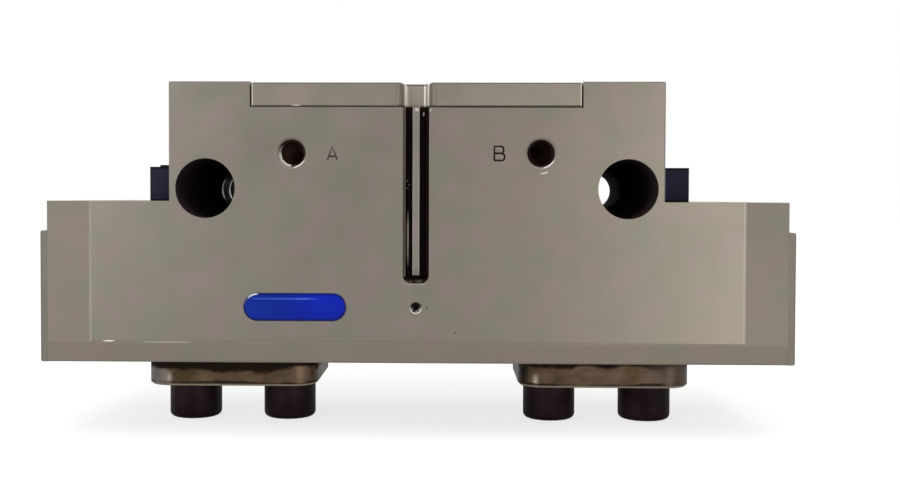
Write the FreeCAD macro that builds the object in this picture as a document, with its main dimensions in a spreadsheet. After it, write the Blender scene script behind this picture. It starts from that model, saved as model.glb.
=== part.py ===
import FreeCAD, Part
import math
import os

import Sketcher

# Pneumatic parallel gripper. An oval piston lifts a wedge hook, and the two inclined T-slots of the hook
# draw the base jaws together along toothed guides in the housing.
# Millimetres. +Z is up, the origin is the centre of the mounting face, the jaws point down and travel along
# X, and the face with the air ports looks along -Y. The jaws are modelled closed, with the piston at its top.

SIZES = [
    # Housing
    ("body_length", 309, "jaw guide block, along X, without its end covers"),
    ("upper_length", 207, "cylinder block above the shoulders, along X"),
    ("body_depth", 120, "between the front and back panels"),
    ("body_height", 117.5, "mounting face to underside"),
    ("upper_height", 50, "mounting face to shoulders"),
    ("frame_step", 1, "raised frame on the front and back of the guide block"),
    ("frame_end_width", 17.6, "raised frame at each end"),
    ("frame_base_width", 8.6, "raised frame along the underside"),
    ("edge_break", 0.6, "chamfer on the machined edges"),
    # Cylinder and its cover
    ("cover_length", 138, "cover, along X"),
    ("cover_thickness", 10, ""),
    ("cover_drop", 0.4, "cover's top below the mounting face"),
    ("cover_gap", 0.4, "between the cover's ends and the housing"),
    ("cover_end_land", 13, "cover beyond the cylinder, along X"),
    ("cylinder_wall", 20, "cylinder to the front and back panels"),
    ("spigot_height", 3, "cover's spigot in the cylinder"),
    ("spigot_fit", 0.15, "clearance round the spigot"),
    ("notch_mouth", 11.9, "sensor notch in the cover's front edge, between its walls at the front"),
    ("notch_floor", 9.2, "the same at its bottom"),
    ("notch_depth", 8, ""),
    ("notch_round", 2.1, "rounded front edges of the notch"),
    ("notch_corner", 1.6, "inner corners of the notch"),
    ("cover_seal_land", 3, "cylinder's edge to the seal groove"),
    ("cover_seal_width", 3.6, "cover seal's section"),
    ("cover_seal_height", 2, ""),
    ("seal_side_gap", 0.2, "seal to the sides of its groove"),
    ("web_thickness", 9, "floor between the cylinder and the jaw guide"),
    # Piston
    ("piston_thickness", 18, ""),
    ("piston_stroke", 25, ""),
    ("piston_fit", 0.1, "clearance round the piston"),
    ("piston_end_gap", 1, "piston to the cylinder's ends at each end of its travel"),
    ("piston_chamfer", 2, ""),
    ("piston_groove_width", 5.4, "groove of the piston seal"),
    ("piston_groove_depth", 4.5, ""),
    ("piston_seal_fit", 0.05, "piston seal to the cylinder's wall"),
    ("magnet_length", 10, "sensor magnet, along X"),
    ("magnet_depth", 4, ""),
    ("magnet_height", 4, ""),
    # Wedge hook
    ("jaw_stroke", 25, "travel of each jaw"),
    ("rod_diameter", 32, ""),
    ("rod_fit", 0.05, "clearance round the rod"),
    ("rod_spigot_diameter", 22, "rod's spigot in the piston"),
    ("rod_spigot_height", 3, ""),
    ("rod_seal_height", 4, ""),
    ("rod_seal_section", 5, "rod seal, along its radius"),
    ("bush_wall", 3, "rod bush"),
    ("hook_depth", 50, "hook, along Y"),
    ("hook_gap", 0.6, "hook to the roof of its pocket and to the underside"),
    ("hook_side_gap", 0.6, "hook to the sides of its pocket"),
    ("wedge_gap", 0.3, "between the hook and the jaws, along X"),
    ("hook_lip", 5.7, "lips of the hook's T-slots, along X"),
    ("tongue_head", 7, "head of the jaw's T-tongue, along X"),
    ("tongue_head_width", 30, ""),
    ("tongue_neck_width", 18, ""),
    ("tongue_centre_gap", 1.5, "tongue to the middle plane with the jaws closed"),
    # Jaw guide and jaws
    ("guide_height", 40.5, "underside to the roof of the jaw guide"),
    ("guide_base_land", 5.5, "plain land below the teeth"),
    ("guide_roof_land", 5, "plain land above the teeth"),
    ("tooth_count", 4, "teeth on each flank"),
    ("tooth_height", 4, ""),
    ("tooth_flat", 1.5, "flat on the crest and in the root"),
    ("neck_width", 61, "jaw between the roots of its teeth"),
    ("slide_gap", 0.3, "jaw to guide"),
    ("jaw_set_back", 0.5, "rail's underside above the housing's underside"),
    ("jaw_tip_gap", 3.8, "rail's tip to the middle plane with the jaws closed"),
    ("jaw_end_gap", 2, "rail to end cover with the jaws open"),
    ("pad_inset", 44.5, "middle of the finger pad from the rail's outer end"),
    ("pad_length", 75.8, "finger pad, along X"),
    ("pad_width", 64, "finger pad, along Y"),
    ("pad_corner", 11, "radius of the pad's corners"),
    ("pad_drop", 14.7, "pad's face below the housing's underside"),
    ("pad_gap", 0.5, "pad to the housing's underside"),
    ("pad_edge", 1, "chamfer round the pad's face"),
    # Jaw screws, M16, with the sleeves that centre the fingers
    ("jaw_screw_spacing", 44.4, ""),
    ("jaw_screw_thread", 16, ""),
    ("jaw_screw_head", 24, ""),
    ("jaw_screw_head_height", 16, ""),
    ("jaw_screw_round", 2.5, "rounded edge of the head"),
    ("jaw_screw_reach", 30, "thread in the jaw"),
    ("jaw_screw_socket", 14, "across flats"),
    ("sleeve_diameter", 22, "centering sleeve"),
    ("sleeve_seat", 5, "sleeve in the jaw"),
    ("sleeve_proud", 2.8, "sleeve below the pad's face"),
    ("thread_fit", 0.1, "clearance round every screw thread and sleeve"),
    ("thread_end_gap", 1, "tapped hole beyond the end of its screw"),
    # Switching cams on the jaws
    ("cam_length", 20, ""),
    ("cam_width", 10, ""),
    ("cam_thickness", 4, ""),
    ("cam_inset", 22.5, "cam's middle from the rail's outer end"),
    ("cam_fit", 0.2, "cam to its slot"),
    ("cam_screw_spacing", 12, ""),
    ("cam_screw_thread", 3, ""),
    ("cam_screw_head", 5.5, ""),
    ("cam_screw_head_height", 2, ""),
    ("cam_screw_reach", 6, "thread in the jaw"),
    ("cam_screw_socket", 2, "across flats"),
    # Mounting holes
    ("mount_inset", 15.25, "mounting holes from the side of the cylinder block"),
    ("mount_depth", 44.6, "through holes below the mounting face"),
    ("mount_bore", 17.5, "through hole for an M16 screw"),
    ("mount_counterbore", 25, ""),
    ("mount_web", 38.4, "left under the screw head"),
    ("top_thread", 10.2, "tapped holes in the mounting face, core of M12"),
    ("top_thread_depth", 24, ""),
    ("top_thread_spacing", 84, "along Y"),
    ("top_dowel", 12, "dowel holes in the mounting face"),
    ("top_dowel_depth", 15, ""),
    # Air ports
    ("port_spacing", 104, ""),
    ("port_depth", 29.8, "below the mounting face"),
    ("port_core", 11.45, "core of the G1/4 thread"),
    ("port_mouth", 13.2, "chamfered mouth"),
    ("port_length", 14, ""),
    ("port_drill", 5, "drilling from the port to the cylinder"),
    ("purge_rise", 23.2, "purge port above the underside"),
    ("purge_thread", 4.2, "core of M5"),
    ("purge_mouth", 5, "chamfered mouth"),
    ("purge_length", 9, ""),
    ("purge_drill", 2.5, ""),
    ("plug_length", 5, "plug in the purge port"),
    ("plug_recess", 0.8, ""),
    ("plug_socket", 2.5, "across flats"),
    # Sensor slots
    ("slot_mouth", 2.9, ""),
    ("slot_rib", 2.85, "rib between the two slots"),
    ("slot_chamfer", 1.2, "along the outer edges of the two slots"),
    ("slot_corner", 3.5, "rounded corners at the lower end"),
    ("slot_round", 4.2, "round bottom of a slot"),
    ("slot_reach", 6, "front panel to the bottom of a slot"),
    ("slot_end", 84.2, "lower end of the chamfer below the mounting face"),
    ("slot_end_land", 1.9, "lower end of the slots above the end of the chamfer"),
    ("rib_end_land", 3.5, "lower end of the rib above the end of the chamfer"),
    # Cover screws, M6
    ("cover_screw_inset", 7.5, "from the cover's ends"),
    ("cover_screw_edge", 8.5, "from the cover's front and back"),
    ("cover_screw_inner", 46, "between the two middle screws of a row"),
    ("cover_screw_thread", 6, ""),
    ("cover_screw_head", 10, ""),
    ("cover_screw_head_height", 6, ""),
    ("cover_screw_reach", 13, "thread in the housing"),
    ("cover_screw_socket", 5, "across flats"),
    ("head_gap", 0.5, "screw head to its counterbore"),
    # End covers and their M4 countersunk screws
    ("end_cover_thickness", 3, ""),
    ("end_cover_height", 55, ""),
    ("end_screw_edge", 9, "from the cover's edges"),
    ("end_screw_thread", 4, ""),
    ("end_screw_head", 7.5, ""),
    ("end_screw_head_height", 2, ""),
    ("end_screw_reach", 10, "thread in the housing"),
    ("end_screw_socket", 2.5, "across flats"),
    # Sensor brackets
    ("bracket_width", 17.2, "out from the cylinder block"),
    ("bracket_depth", 50, ""),
    ("bracket_height", 15.2, ""),
    ("bracket_lip", 0.8, "height of the ledge at one end of the bracket"),
    ("bracket_lip_width", 12.3, "ledge, out from the cylinder block"),
    ("bracket_lip_length", 20, "ledge, along Y"),
    ("bracket_corner", 1.5, ""),
    ("bracket_bore", 8.2, "clamps a sensor"),
    ("sensor_gap", 0.5, "sensor's hole in the shoulder, round the bracket's bore"),
    ("bracket_screw_spacing", 34, ""),
    ("bracket_screw_thread", 4, ""),
    ("bracket_screw_head", 7, ""),
    ("bracket_screw_head_height", 4, ""),
    ("bracket_screw_reach", 9, "thread in the housing"),
    ("bracket_screw_socket", 3, "across flats"),
    ("clamp_screw_thread", 4, ""),
    ("clamp_screw_socket", 2, "across flats"),
    # Piston screw, M10
    ("piston_screw_thread", 10, ""),
    ("piston_screw_head", 16, ""),
    ("piston_screw_head_height", 10, ""),
    ("piston_screw_reach", 22, "thread in the rod"),
    ("piston_screw_socket", 8, "across flats"),
    # Badge
    ("badge_length", 43.2, ""),
    ("badge_width", 11.75, ""),
    ("badge_thickness", 0.8, ""),
    ("badge_offset", 50.6, "badge's middle to the left of the middle plane"),
    ("badge_rise", 23.3, "badge's middle above the underside"),
]


class Size:
    """A length in millimetres, with the spreadsheet expression that it comes from."""

    def __init__(self, value, text=None):
        self.value = float(value)
        self.text = text or f"{float(value):.6f}"

    def __add__(self, other):
        other = as_size(other)
        return Size(self.value + other.value, f"({self.text} + {other.text})")

    def __sub__(self, other):
        other = as_size(other)
        return Size(self.value - other.value, f"({self.text} - {other.text})")

    def __mul__(self, other):
        other = as_size(other)
        return Size(self.value * other.value, f"({self.text} * {other.text})")

    def __truediv__(self, other):
        other = as_size(other)
        return Size(self.value / other.value, f"({self.text} / {other.text})")

    def __neg__(self):
        return Size(-self.value, f"(0 - {self.text})")

    def __radd__(self, other):
        return as_size(other) + self

    def __rsub__(self, other):
        return as_size(other) - self

    def __rmul__(self, other):
        return as_size(other) * self


def as_size(value):
    return value if isinstance(value, Size) else Size(value)


def both(x):
    """A length on both sides of the middle plane."""
    return (-x, x)


doc = FreeCAD.newDocument("parallel_gripper")
sheet = doc.addObject("Spreadsheet::Sheet", "Sizes")
at = {}
for row, (alias, value, meaning) in enumerate(SIZES, 1):
    sheet.set(f"A{row}", meaning or alias.replace("_", " "))
    sheet.set(f"B{row}", str(value))
    sheet.setAlias(f"B{row}", alias)
    at[alias] = Size(value, f"Sizes.{alias}")
doc.recompute()

subparts = []

TOLERANCE = 1e-4  # within which two places are the same
OVERCUT = 1  # how far a cut starts outside the surface that it opens


# Helpers for sketches and features

def bind(feature, prop, size):
    feature.setExpression(prop, as_size(size).text)


def new_body(label, exported=True):
    body = doc.addObject("PartDesign::Body", label)
    body.Label = label
    if exported:
        subparts.append(body)
    return body


def sketch_on(body, plane, shift=0):
    """An empty sketch on an origin plane of the body, shifted along the plane's normal.
    The normals are +Z on XY, +X on YZ and -Y on XZ."""
    made = body.newObject("Sketcher::SketchObject", "Sketch")
    made.AttachmentSupport = [(next(f for f in body.Origin.OriginFeatures if f.Role == plane), "")]
    made.MapMode = "FlatFace"
    bind(made, "AttachmentOffset.Base.z", shift)
    return made


def hold(sketch, geometry, point, x, y):
    """Fixes one point of the sketch at (x, y) from its origin."""
    for kind, size in (("DistanceX", as_size(x)), ("DistanceY", as_size(y))):
        index = sketch.addConstraint(Sketcher.Constraint(kind, -1, 1, geometry, point, size.value))
        bind(sketch, f"Constraints[{index}]", size)


def radius(sketch, geometry, size):
    index = sketch.addConstraint(Sketcher.Constraint("Radius", geometry, as_size(size).value))
    bind(sketch, f"Constraints[{index}]", size)


def flat(x, y):
    return FreeCAD.Vector(as_size(x).value, as_size(y).value, 0)


def outline(sketch, points):
    """A closed outline of straight lines through the points."""
    first = sketch.GeometryCount
    count = len(points)
    for i, point in enumerate(points):
        sketch.addGeometry(Part.LineSegment(flat(*point), flat(*points[(i + 1) % count])))
    for i in range(count):
        sketch.addConstraint(Sketcher.Constraint("Coincident", first + i, 2, first + (i + 1) % count, 1))
    for i, point in enumerate(points):
        hold(sketch, first + i, 1, *point)
    return sketch


def rectangle(sketch, left, right, low, high):
    return outline(sketch, [(left, low), (right, low), (right, high), (left, high)])


def circles(sketch, size, centres):
    """Circles of one diameter."""
    for x, y in centres:
        index = sketch.addGeometry(Part.Circle(flat(x, y), FreeCAD.Vector(0, 0, 1), as_size(size).value / 2))
        hold(sketch, index, 3, x, y)
        radius(sketch, index, as_size(size) / 2)
    return sketch


def rounded(sketch, corners, corner_radius):
    """A closed convex outline with one arc at each corner. The corners are the arcs' centres, anticlockwise,
    with the angles in degrees where each arc starts and ends."""
    first = sketch.GeometryCount
    count = len(corners)
    r = as_size(corner_radius).value

    def on_arc(corner, angle):
        turn = math.radians(angle)
        return flat(*corner[:2]) + FreeCAD.Vector(r * math.cos(turn), r * math.sin(turn), 0)

    for i, corner in enumerate(corners):
        circle = Part.Circle(flat(*corner[:2]), FreeCAD.Vector(0, 0, 1), r)
        sketch.addGeometry(Part.ArcOfCircle(circle, math.radians(corner[2]), math.radians(corner[3])))
        following = corners[(i + 1) % count]
        sketch.addGeometry(Part.LineSegment(on_arc(corner, corner[3]), on_arc(following, following[2])))
    for i in range(count):
        arc = first + 2 * i
        following = first + 2 * ((i + 1) % count)
        sketch.addConstraint(Sketcher.Constraint("Tangent", arc, 2, arc + 1, 1))
        sketch.addConstraint(Sketcher.Constraint("Tangent", arc + 1, 2, following, 1))
        hold(sketch, arc, 3, *corners[i][:2])
        if i:
            sketch.addConstraint(Sketcher.Constraint("Equal", first, arc))
    radius(sketch, first, corner_radius)
    return sketch


def stadium(sketch, length, width, centre_x=0, centre_y=0):
    """An oval of two half circles and two straight sides, long along the sketch's X."""
    reach = (as_size(length) - width) / 2
    corners = [(centre_x + reach, centre_y, -90, 90), (centre_x - reach, centre_y, 90, 270)]
    return rounded(sketch, corners, as_size(width) / 2)


def rounded_rectangle(sketch, centre_x, centre_y, length, width, corner):
    x, y = as_size(length) / 2 - corner, as_size(width) / 2 - corner
    corners = [
        (centre_x + x, centre_y + y, 0, 90),
        (centre_x - x, centre_y + y, 90, 180),
        (centre_x - x, centre_y - y, 180, 270),
        (centre_x + x, centre_y - y, 270, 360),
    ]
    return rounded(sketch, corners, corner)


def hexagon(sketch, across_flats, centre_x=0, centre_y=0):
    corner = across_flats / math.sqrt(3)
    turns = [math.radians(60 * i) for i in range(6)]
    points = [(centre_x + corner * math.cos(turn), centre_y + corner * math.sin(turn)) for turn in turns]
    return outline(sketch, points)


def extrude(body, kind, profile, length, midplane=False, reverse=False):
    feature = body.newObject(kind, kind.split("::")[1])
    feature.Profile = profile
    bind(feature, "Length", length)
    feature.Midplane = midplane
    feature.Reversed = reverse
    return feature


def pad(body, profile, length, midplane=False, reverse=False):
    """Adds the profile, along its plane's normal unless reversed."""
    feature = extrude(body, "PartDesign::Pad", profile, length, midplane, reverse)
    doc.recompute()
    return feature


def pocket(body, profile, depth, midplane=False, reverse=False):
    """Cuts the profile, against its plane's normal unless reversed, and checks that something was cut."""
    before = body.Shape.Volume
    feature = extrude(body, "PartDesign::Pocket", profile, depth, midplane, reverse)
    doc.recompute()
    if body.Shape.Volume > before - TOLERANCE:
        raise RuntimeError(f"a pocket in {body.Label} cuts nothing")
    return feature


def dress(body, kind, size, wanted):
    """A chamfer or a fillet on the edges that wanted(edge) picks."""
    names = [f"Edge{i}" for i, edge in enumerate(body.Shape.Edges, 1) if wanted(edge)]
    if not names:
        raise RuntimeError(f"{body.Label} has no such edge")
    dressed = body.Tip
    feature = body.newObject(kind, kind.split("::")[1])
    feature.Base = (dressed, names)
    bind(feature, "Size" if kind.endswith("Chamfer") else "Radius", size)
    doc.recompute()
    return feature


def chamfer(body, size, wanted):
    return dress(body, "PartDesign::Chamfer", size, wanted)


def fillet(body, size, wanted):
    return dress(body, "PartDesign::Fillet", size, wanted)


def near(a, b):
    return abs(a - as_size(b).value) < TOLERANCE


def spans(edge, axis, place):
    """True where the whole edge lies at the place along an axis."""
    low, high = (getattr(edge.BoundBox, axis + end) for end in ("Min", "Max"))
    return near(low, place) and near(high, place)


def mirrored(source, label):
    """The other hand of a piece, across the middle plane."""
    made = doc.addObject("Part::Mirroring", label)
    made.Label = label
    made.Source = source
    made.Base = (0, 0, 0)
    made.Normal = (1, 0, 0)
    subparts.append(made)
    return made


def facing(x, y, z, direction=(0, 0, 1)):
    """Places a screw with its bearing face at (x, y, z) and its head towards the direction."""
    base = FreeCAD.Vector(*(as_size(v).value for v in (x, y, z)))
    return FreeCAD.Placement(base, FreeCAD.Rotation(FreeCAD.Vector(0, 0, 1), FreeCAD.Vector(*direction)))


def group(label, master, placements):
    """Copies of one piece, as separate solids of one node."""
    doc.recompute()
    copies = []
    for placement in placements:
        copy = master.Shape.copy()
        copy.Placement = placement.multiply(copy.Placement)
        copies.append(copy)
    made = doc.addObject("Part::Feature", label)
    made.Label = label
    made.Shape = Part.makeCompound(copies)
    subparts.append(made)
    return made


# Screws, each made once with its bearing face at Z 0 and its head above

SOCKET_SHARE = 0.55  # depth of a hexagon socket, as a share of the head's height


def cap_screw(name):
    """A socket head cap screw."""
    body = new_body(name + "_master", exported=False)
    head_height = at[name + "_head_height"]
    pad(body, circles(sketch_on(body, "XY_Plane"), at[name + "_head"], [(0, 0)]), head_height)
    if name + "_round" in at:
        fillet(body, at[name + "_round"], lambda e: spans(e, "Z", head_height))
    shank = circles(sketch_on(body, "XY_Plane"), at[name + "_thread"], [(0, 0)])
    pad(body, shank, at[name + "_reach"] + at.get(name + "_grip", 0), reverse=True)
    socket = hexagon(sketch_on(body, "XY_Plane", head_height), at[name + "_socket"])
    pocket(body, socket, head_height * SOCKET_SHARE)
    return body


def countersunk_screw(name):
    """A countersunk screw, with its bearing plane at the flat top of the head."""
    body = new_body(name + "_master", exported=False)
    head, thread = at[name + "_head"] / 2, at[name + "_thread"] / 2
    depth = at[name + "_head_height"]
    length = depth + at[name + "_reach"]
    profile = [(0, 0), (head, 0), (thread, -depth), (thread, -length), (0, -length)]
    turned = body.newObject("PartDesign::Revolution", "Revolution")
    turned.Profile = outline(sketch_on(body, "XZ_Plane"), profile)
    turned.ReferenceAxis = (turned.Profile[0], ["V_Axis"])
    turned.Angle = 360
    doc.recompute()
    pocket(body, hexagon(sketch_on(body, "XY_Plane"), at[name + "_socket"]), depth * SOCKET_SHARE)
    return body


def set_screw(name, thread, length, socket):
    """A headless screw, with its driven end at Z 0."""
    body = new_body(name + "_master", exported=False)
    pad(body, circles(sketch_on(body, "XY_Plane"), thread, [(0, 0)]), length, reverse=True)
    pocket(body, hexagon(sketch_on(body, "XY_Plane"), socket), length * SOCKET_SHARE)
    return body


# Places that several pieces share

half_depth = at["body_depth"] / 2
half_upper = at["upper_length"] / 2
half_body = at["body_length"] / 2
frame_face = half_depth + at["frame_step"]
underside = -at["body_height"]
shoulder = -at["upper_height"]
seat = -(at["cover_drop"] + at["cover_thickness"])
bore_length = at["cover_length"] - 2 * at["cover_end_land"]
bore_width = at["body_depth"] - 2 * at["cylinder_wall"]
piston_top = seat - at["spigot_height"] - at["piston_end_gap"]
piston_bottom = piston_top - at["piston_thickness"]
bore_floor = piston_bottom - at["piston_stroke"] - at["piston_end_gap"]
hook_roof = bore_floor - at["web_thickness"]
hook_top = hook_roof - at["hook_gap"]
hook_bottom = underside + at["hook_gap"] + at["piston_stroke"]
guide_roof = underside + at["guide_height"]
rail_bottom = underside + at["jaw_set_back"]
rail_top = guide_roof - at["slide_gap"]
rail_end = half_body - at["jaw_stroke"] - at["jaw_end_gap"]
pad_centre = rail_end - at["pad_inset"]
pad_face = underside - at["pad_drop"]
sleeve_face = pad_face - at["sleeve_proud"]
cam_centre = rail_end - at["cam_inset"]
purge_z = underside + at["purge_rise"]
mount_x = half_upper - at["mount_inset"]
sensor_x = half_upper + at["bracket_width"] / 2
bracket_top = shoulder + at["bracket_height"]
wedge_slope = at["jaw_stroke"] / at["piston_stroke"]
tongue_reach = at["wedge_gap"] * 2 + at["hook_lip"] + at["tongue_head"]
slot_x = (at["slot_mouth"] + at["slot_rib"]) / 2
rod_seal_bore = at["rod_diameter"] + 2 * at["rod_seal_section"]
bush_bore = at["rod_diameter"] + 2 * at["bush_wall"]


def jaw_face(z):
    """X of the jaw's inclined inner face at the height z, with the jaws closed."""
    return at["jaw_tip_gap"] + wedge_slope * (z - rail_bottom)


def hook_face(z):
    """X of the hook's inclined side at the height z, with the jaws closed."""
    return jaw_face(z) - at["wedge_gap"]


def flank(gap):
    """One toothed flank of the jaw guide, from the underside up, as (Y, Z) points."""
    root = at["neck_width"] / 2 + gap
    crest = root + at["tooth_height"]
    first = underside + at["guide_base_land"]
    count = at["tooth_count"]
    pitch = (at["guide_height"] - at["guide_base_land"] - at["guide_roof_land"]) / count
    flat_part = at["tooth_flat"]
    slope = pitch / 2 - flat_part
    points = []
    for tooth in range(round(count.value)):
        low = first + tooth * pitch + flat_part / 2
        points += [(root, low), (crest, low + slope), (crest, low + slope + flat_part)]
        points += [(root, low + 2 * slope + flat_part)]
    return points


def guide_section(gap, low, high):
    """Cross-section of the jaw rail, or of its guide, with a flank on each side."""
    right = flank(gap)
    edge = right[0][0]
    right = [(edge, low)] + right + [(edge, high)]
    left = [(-y, z) for y, z in reversed(right)]
    return right + left


cover_rows = both(half_depth - at["cover_screw_edge"])
cover_columns = both(at["cover_length"] / 2 - at["cover_screw_inset"]) + both(at["cover_screw_inner"] / 2)
cover_screw_places = [(x, y) for x in cover_columns for y in cover_rows]
end_rows = (underside + at["end_screw_edge"], underside + at["end_cover_height"] - at["end_screw_edge"])
end_screw_places = [(y, z) for y in both(frame_face - at["end_screw_edge"]) for z in end_rows]
bracket_screw_places = [(sensor_x, y) for y in both(at["bracket_screw_spacing"] / 2)]
cam_screw_places = [(cam_centre + x, 0) for x in both(at["cam_screw_spacing"] / 2)]
jaw_screw_places = [(pad_centre + x, 0) for x in both(at["jaw_screw_spacing"] / 2)]


def on_both_sides(places):
    return [(side * x, y) for side in (-1, 1) for x, y in places]


def thread_hole(name):
    """Diameter of the hole that a screw's thread goes into."""
    return at[name + "_thread"] + 2 * at["thread_fit"]


# Housing: one milled block with the oval cylinder above and the toothed jaw guide below

CHAMFER_ANGLE = 45


def make_housing():
    body = new_body("housing")
    tee = [
        (-half_upper, 0), (-half_upper, shoulder), (-half_body, shoulder), (-half_body, underside),
        (half_body, underside), (half_body, shoulder), (half_upper, shoulder), (half_upper, 0),
    ]
    pad(body, outline(sketch_on(body, "XZ_Plane"), tee), at["body_depth"], midplane=True)

    inner_end = half_body - at["frame_end_width"]
    inner_base = underside + at["frame_base_width"]
    frame = [
        (-half_body, underside), (half_body, underside), (half_body, shoulder), (inner_end, shoulder),
        (inner_end, inner_base), (-inner_end, inner_base), (-inner_end, shoulder), (-half_body, shoulder),
    ]
    pad(body, outline(sketch_on(body, "XZ_Plane"), frame), 2 * frame_face, midplane=True)

    chamfer(body, at["edge_break"], lambda e: spans(e, "Z", 0) or any(
        spans(e, "Z", underside) and spans(e, "Y", y) for y in both(frame_face)))
    corners = sketch_on(body, "XY_Plane")
    for x, inward in ((-half_upper, at["edge_break"]), (half_upper, -at["edge_break"])):
        outline(corners, [(x, -half_depth), (x + inward, -half_depth), (x, -half_depth + at["edge_break"])])
        outline(corners, [(x, half_depth), (x + inward, half_depth), (x, half_depth - at["edge_break"])])
    pocket(body, corners, at["upper_height"])

    seat_end = at["cover_length"] / 2 + at["cover_gap"]
    seat_cut = rectangle(sketch_on(body, "XZ_Plane"), -seat_end, seat_end, seat, OVERCUT)
    pocket(body, seat_cut, 2 * frame_face, midplane=True)
    pocket(body, stadium(sketch_on(body, "XY_Plane"), bore_length, bore_width), -bore_floor)

    seal_floor = bore_floor - at["rod_seal_height"] - at["hook_gap"]
    pocket(body, circles(sketch_on(body, "XY_Plane"), rod_seal_bore, [(0, 0)]), -seal_floor)
    pocket(body, circles(sketch_on(body, "XY_Plane"), bush_bore, [(0, 0)]), -hook_roof)

    hook_x = hook_face(hook_top) + at["hook_side_gap"]
    hook_y = at["hook_depth"] / 2 + at["hook_side_gap"]
    hook_pocket = rectangle(sketch_on(body, "XY_Plane", underside), -hook_x, hook_x, -hook_y, hook_y)
    pocket(body, hook_pocket, hook_roof - underside, reverse=True)

    guide = guide_section(at["slide_gap"], underside - OVERCUT, guide_roof)
    pocket(body, outline(sketch_on(body, "YZ_Plane"), guide), at["body_length"] + 2 * OVERCUT, midplane=True)

    cut_mounting_holes(body)
    cut_air_ports(body)
    cut_sensor_slots(body)
    cut_fastener_holes(body)
    return body


def cut_mounting_holes(body):
    through = [(x, -at["mount_depth"]) for x in both(mount_x)]
    bores = circles(sketch_on(body, "XZ_Plane"), at["mount_bore"], through)
    pocket(body, bores, 2 * frame_face, midplane=True)
    front = sketch_on(body, "XZ_Plane", half_depth)
    pocket(body, circles(front, at["mount_counterbore"], through), at["body_depth"] - at["mount_web"])
    tapped = [(x, y) for x in both(mount_x) for y in both(at["top_thread_spacing"] / 2)]
    pocket(body, circles(sketch_on(body, "XY_Plane"), at["top_thread"], tapped), at["top_thread_depth"])
    dowels = [(x, 0) for x in both(mount_x)]
    pocket(body, circles(sketch_on(body, "XY_Plane"), at["top_dowel"], dowels), at["top_dowel_depth"])


def chamfered_mouth(body, mouth, core, places):
    """A 45 degree chamfer round holes in the front panel."""
    cone = pocket(body, circles(sketch_on(body, "XZ_Plane", half_depth), mouth, places), (mouth - core) / 2)
    cone.TaperAngle = -CHAMFER_ANGLE
    doc.recompute()


def cut_air_ports(body):
    """The two ports, and from the bottom of each an oblique drilling to one end of the cylinder."""
    front = sketch_on(body, "XZ_Plane", half_depth)
    places = [(x, -at["port_depth"]) for x in both(at["port_spacing"] / 2)]
    pocket(body, circles(front, at["port_core"], places), at["port_length"])
    chamfered_mouth(body, at["port_mouth"], at["port_core"], places)
    halfway = bore_width.value / 4  # from the cylinder's axis to its front wall
    for side, level in ((-1, bore_floor + at["port_drill"] / 2), (1, piston_top)):
        start = FreeCAD.Vector(
            side * at["port_spacing"].value / 2,
            at["port_length"].value - half_depth.value - OVERCUT,
            -at["port_depth"].value,
        )
        end = FreeCAD.Vector(side * (bore_length.value / 2 - halfway), -halfway, level.value)
        drill = body.newObject("PartDesign::SubtractiveCylinder", "Drill")
        bind(drill, "Radius", at["port_drill"] / 2)
        drill.Height = (end - start).Length
        drill.Placement = FreeCAD.Placement(start, FreeCAD.Rotation(FreeCAD.Vector(0, 0, 1), end - start))
        doc.recompute()
    purge = [(0, purge_z)]
    tapped = circles(sketch_on(body, "XZ_Plane", half_depth), at["purge_thread"], purge)
    pocket(body, tapped, at["purge_length"])
    chamfered_mouth(body, at["purge_mouth"], at["purge_thread"], purge)
    channel = half_depth - at["neck_width"] / 2
    pocket(body, circles(sketch_on(body, "XZ_Plane", half_depth), at["purge_drill"], purge), channel)


def cut_sensor_slots(body):
    """Two round-bottomed slots side by side, with a rib between them and one chamfer round the pair."""
    width = 2 * (slot_x + at["slot_mouth"] / 2 + at["slot_chamfer"])
    end = -at["slot_end"]
    above = at["slot_corner"] + at["slot_chamfer"]
    recess = sketch_on(body, "XZ_Plane", half_depth)
    rounded_rectangle(recess, 0, (above + end) / 2, width, above - end, at["slot_corner"])
    recess = pocket(body, recess, at["slot_chamfer"])
    recess.TaperAngle = -CHAMFER_ANGLE
    doc.recompute()

    floor = end + at["slot_end_land"]
    round_y = at["slot_reach"] - at["slot_round"] / 2 - half_depth
    reach = slot_x + at["slot_mouth"] / 2
    mouths = sketch_on(body, "XY_Plane")
    pocket(body, rectangle(mouths, -reach, reach, -half_depth - OVERCUT, round_y), -floor)
    rounds = circles(sketch_on(body, "XY_Plane"), at["slot_round"], [(x, round_y) for x in both(slot_x)])
    pocket(body, rounds, -floor)
    rib = sketch_on(body, "XZ_Plane", half_depth)
    rectangle(rib, -at["slot_rib"] / 2, at["slot_rib"] / 2, end + at["rib_end_land"], seat)
    pad(body, rib, at["slot_reach"] - at["slot_round"] / 2, reverse=True)


def cut_fastener_holes(body):
    cover_holes = circles(sketch_on(body, "XY_Plane"), thread_hole("cover_screw"), cover_screw_places)
    pocket(body, cover_holes, at["cover_screw_reach"] + at["thread_end_gap"] - seat)
    for side, reverse in ((1, False), (-1, True)):
        end = sketch_on(body, "YZ_Plane", side * half_body)
        end_holes = circles(end, thread_hole("end_screw"), end_screw_places)
        pocket(body, end_holes, at["end_screw_reach"], reverse=reverse)
    bracket_holes = circles(sketch_on(body, "XY_Plane"), thread_hole("bracket_screw"),
                            on_both_sides(bracket_screw_places))
    pocket(body, bracket_holes, at["bracket_screw_reach"] + at["thread_end_gap"] - shoulder)
    sensor_bore = at["bracket_bore"] + 2 * at["sensor_gap"]
    sensor_holes = circles(sketch_on(body, "XY_Plane"), sensor_bore, on_both_sides([(sensor_x, 0)]))
    pocket(body, sensor_holes, OVERCUT - guide_roof)


# Cylinder cover with its spigot, seal and screws

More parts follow.
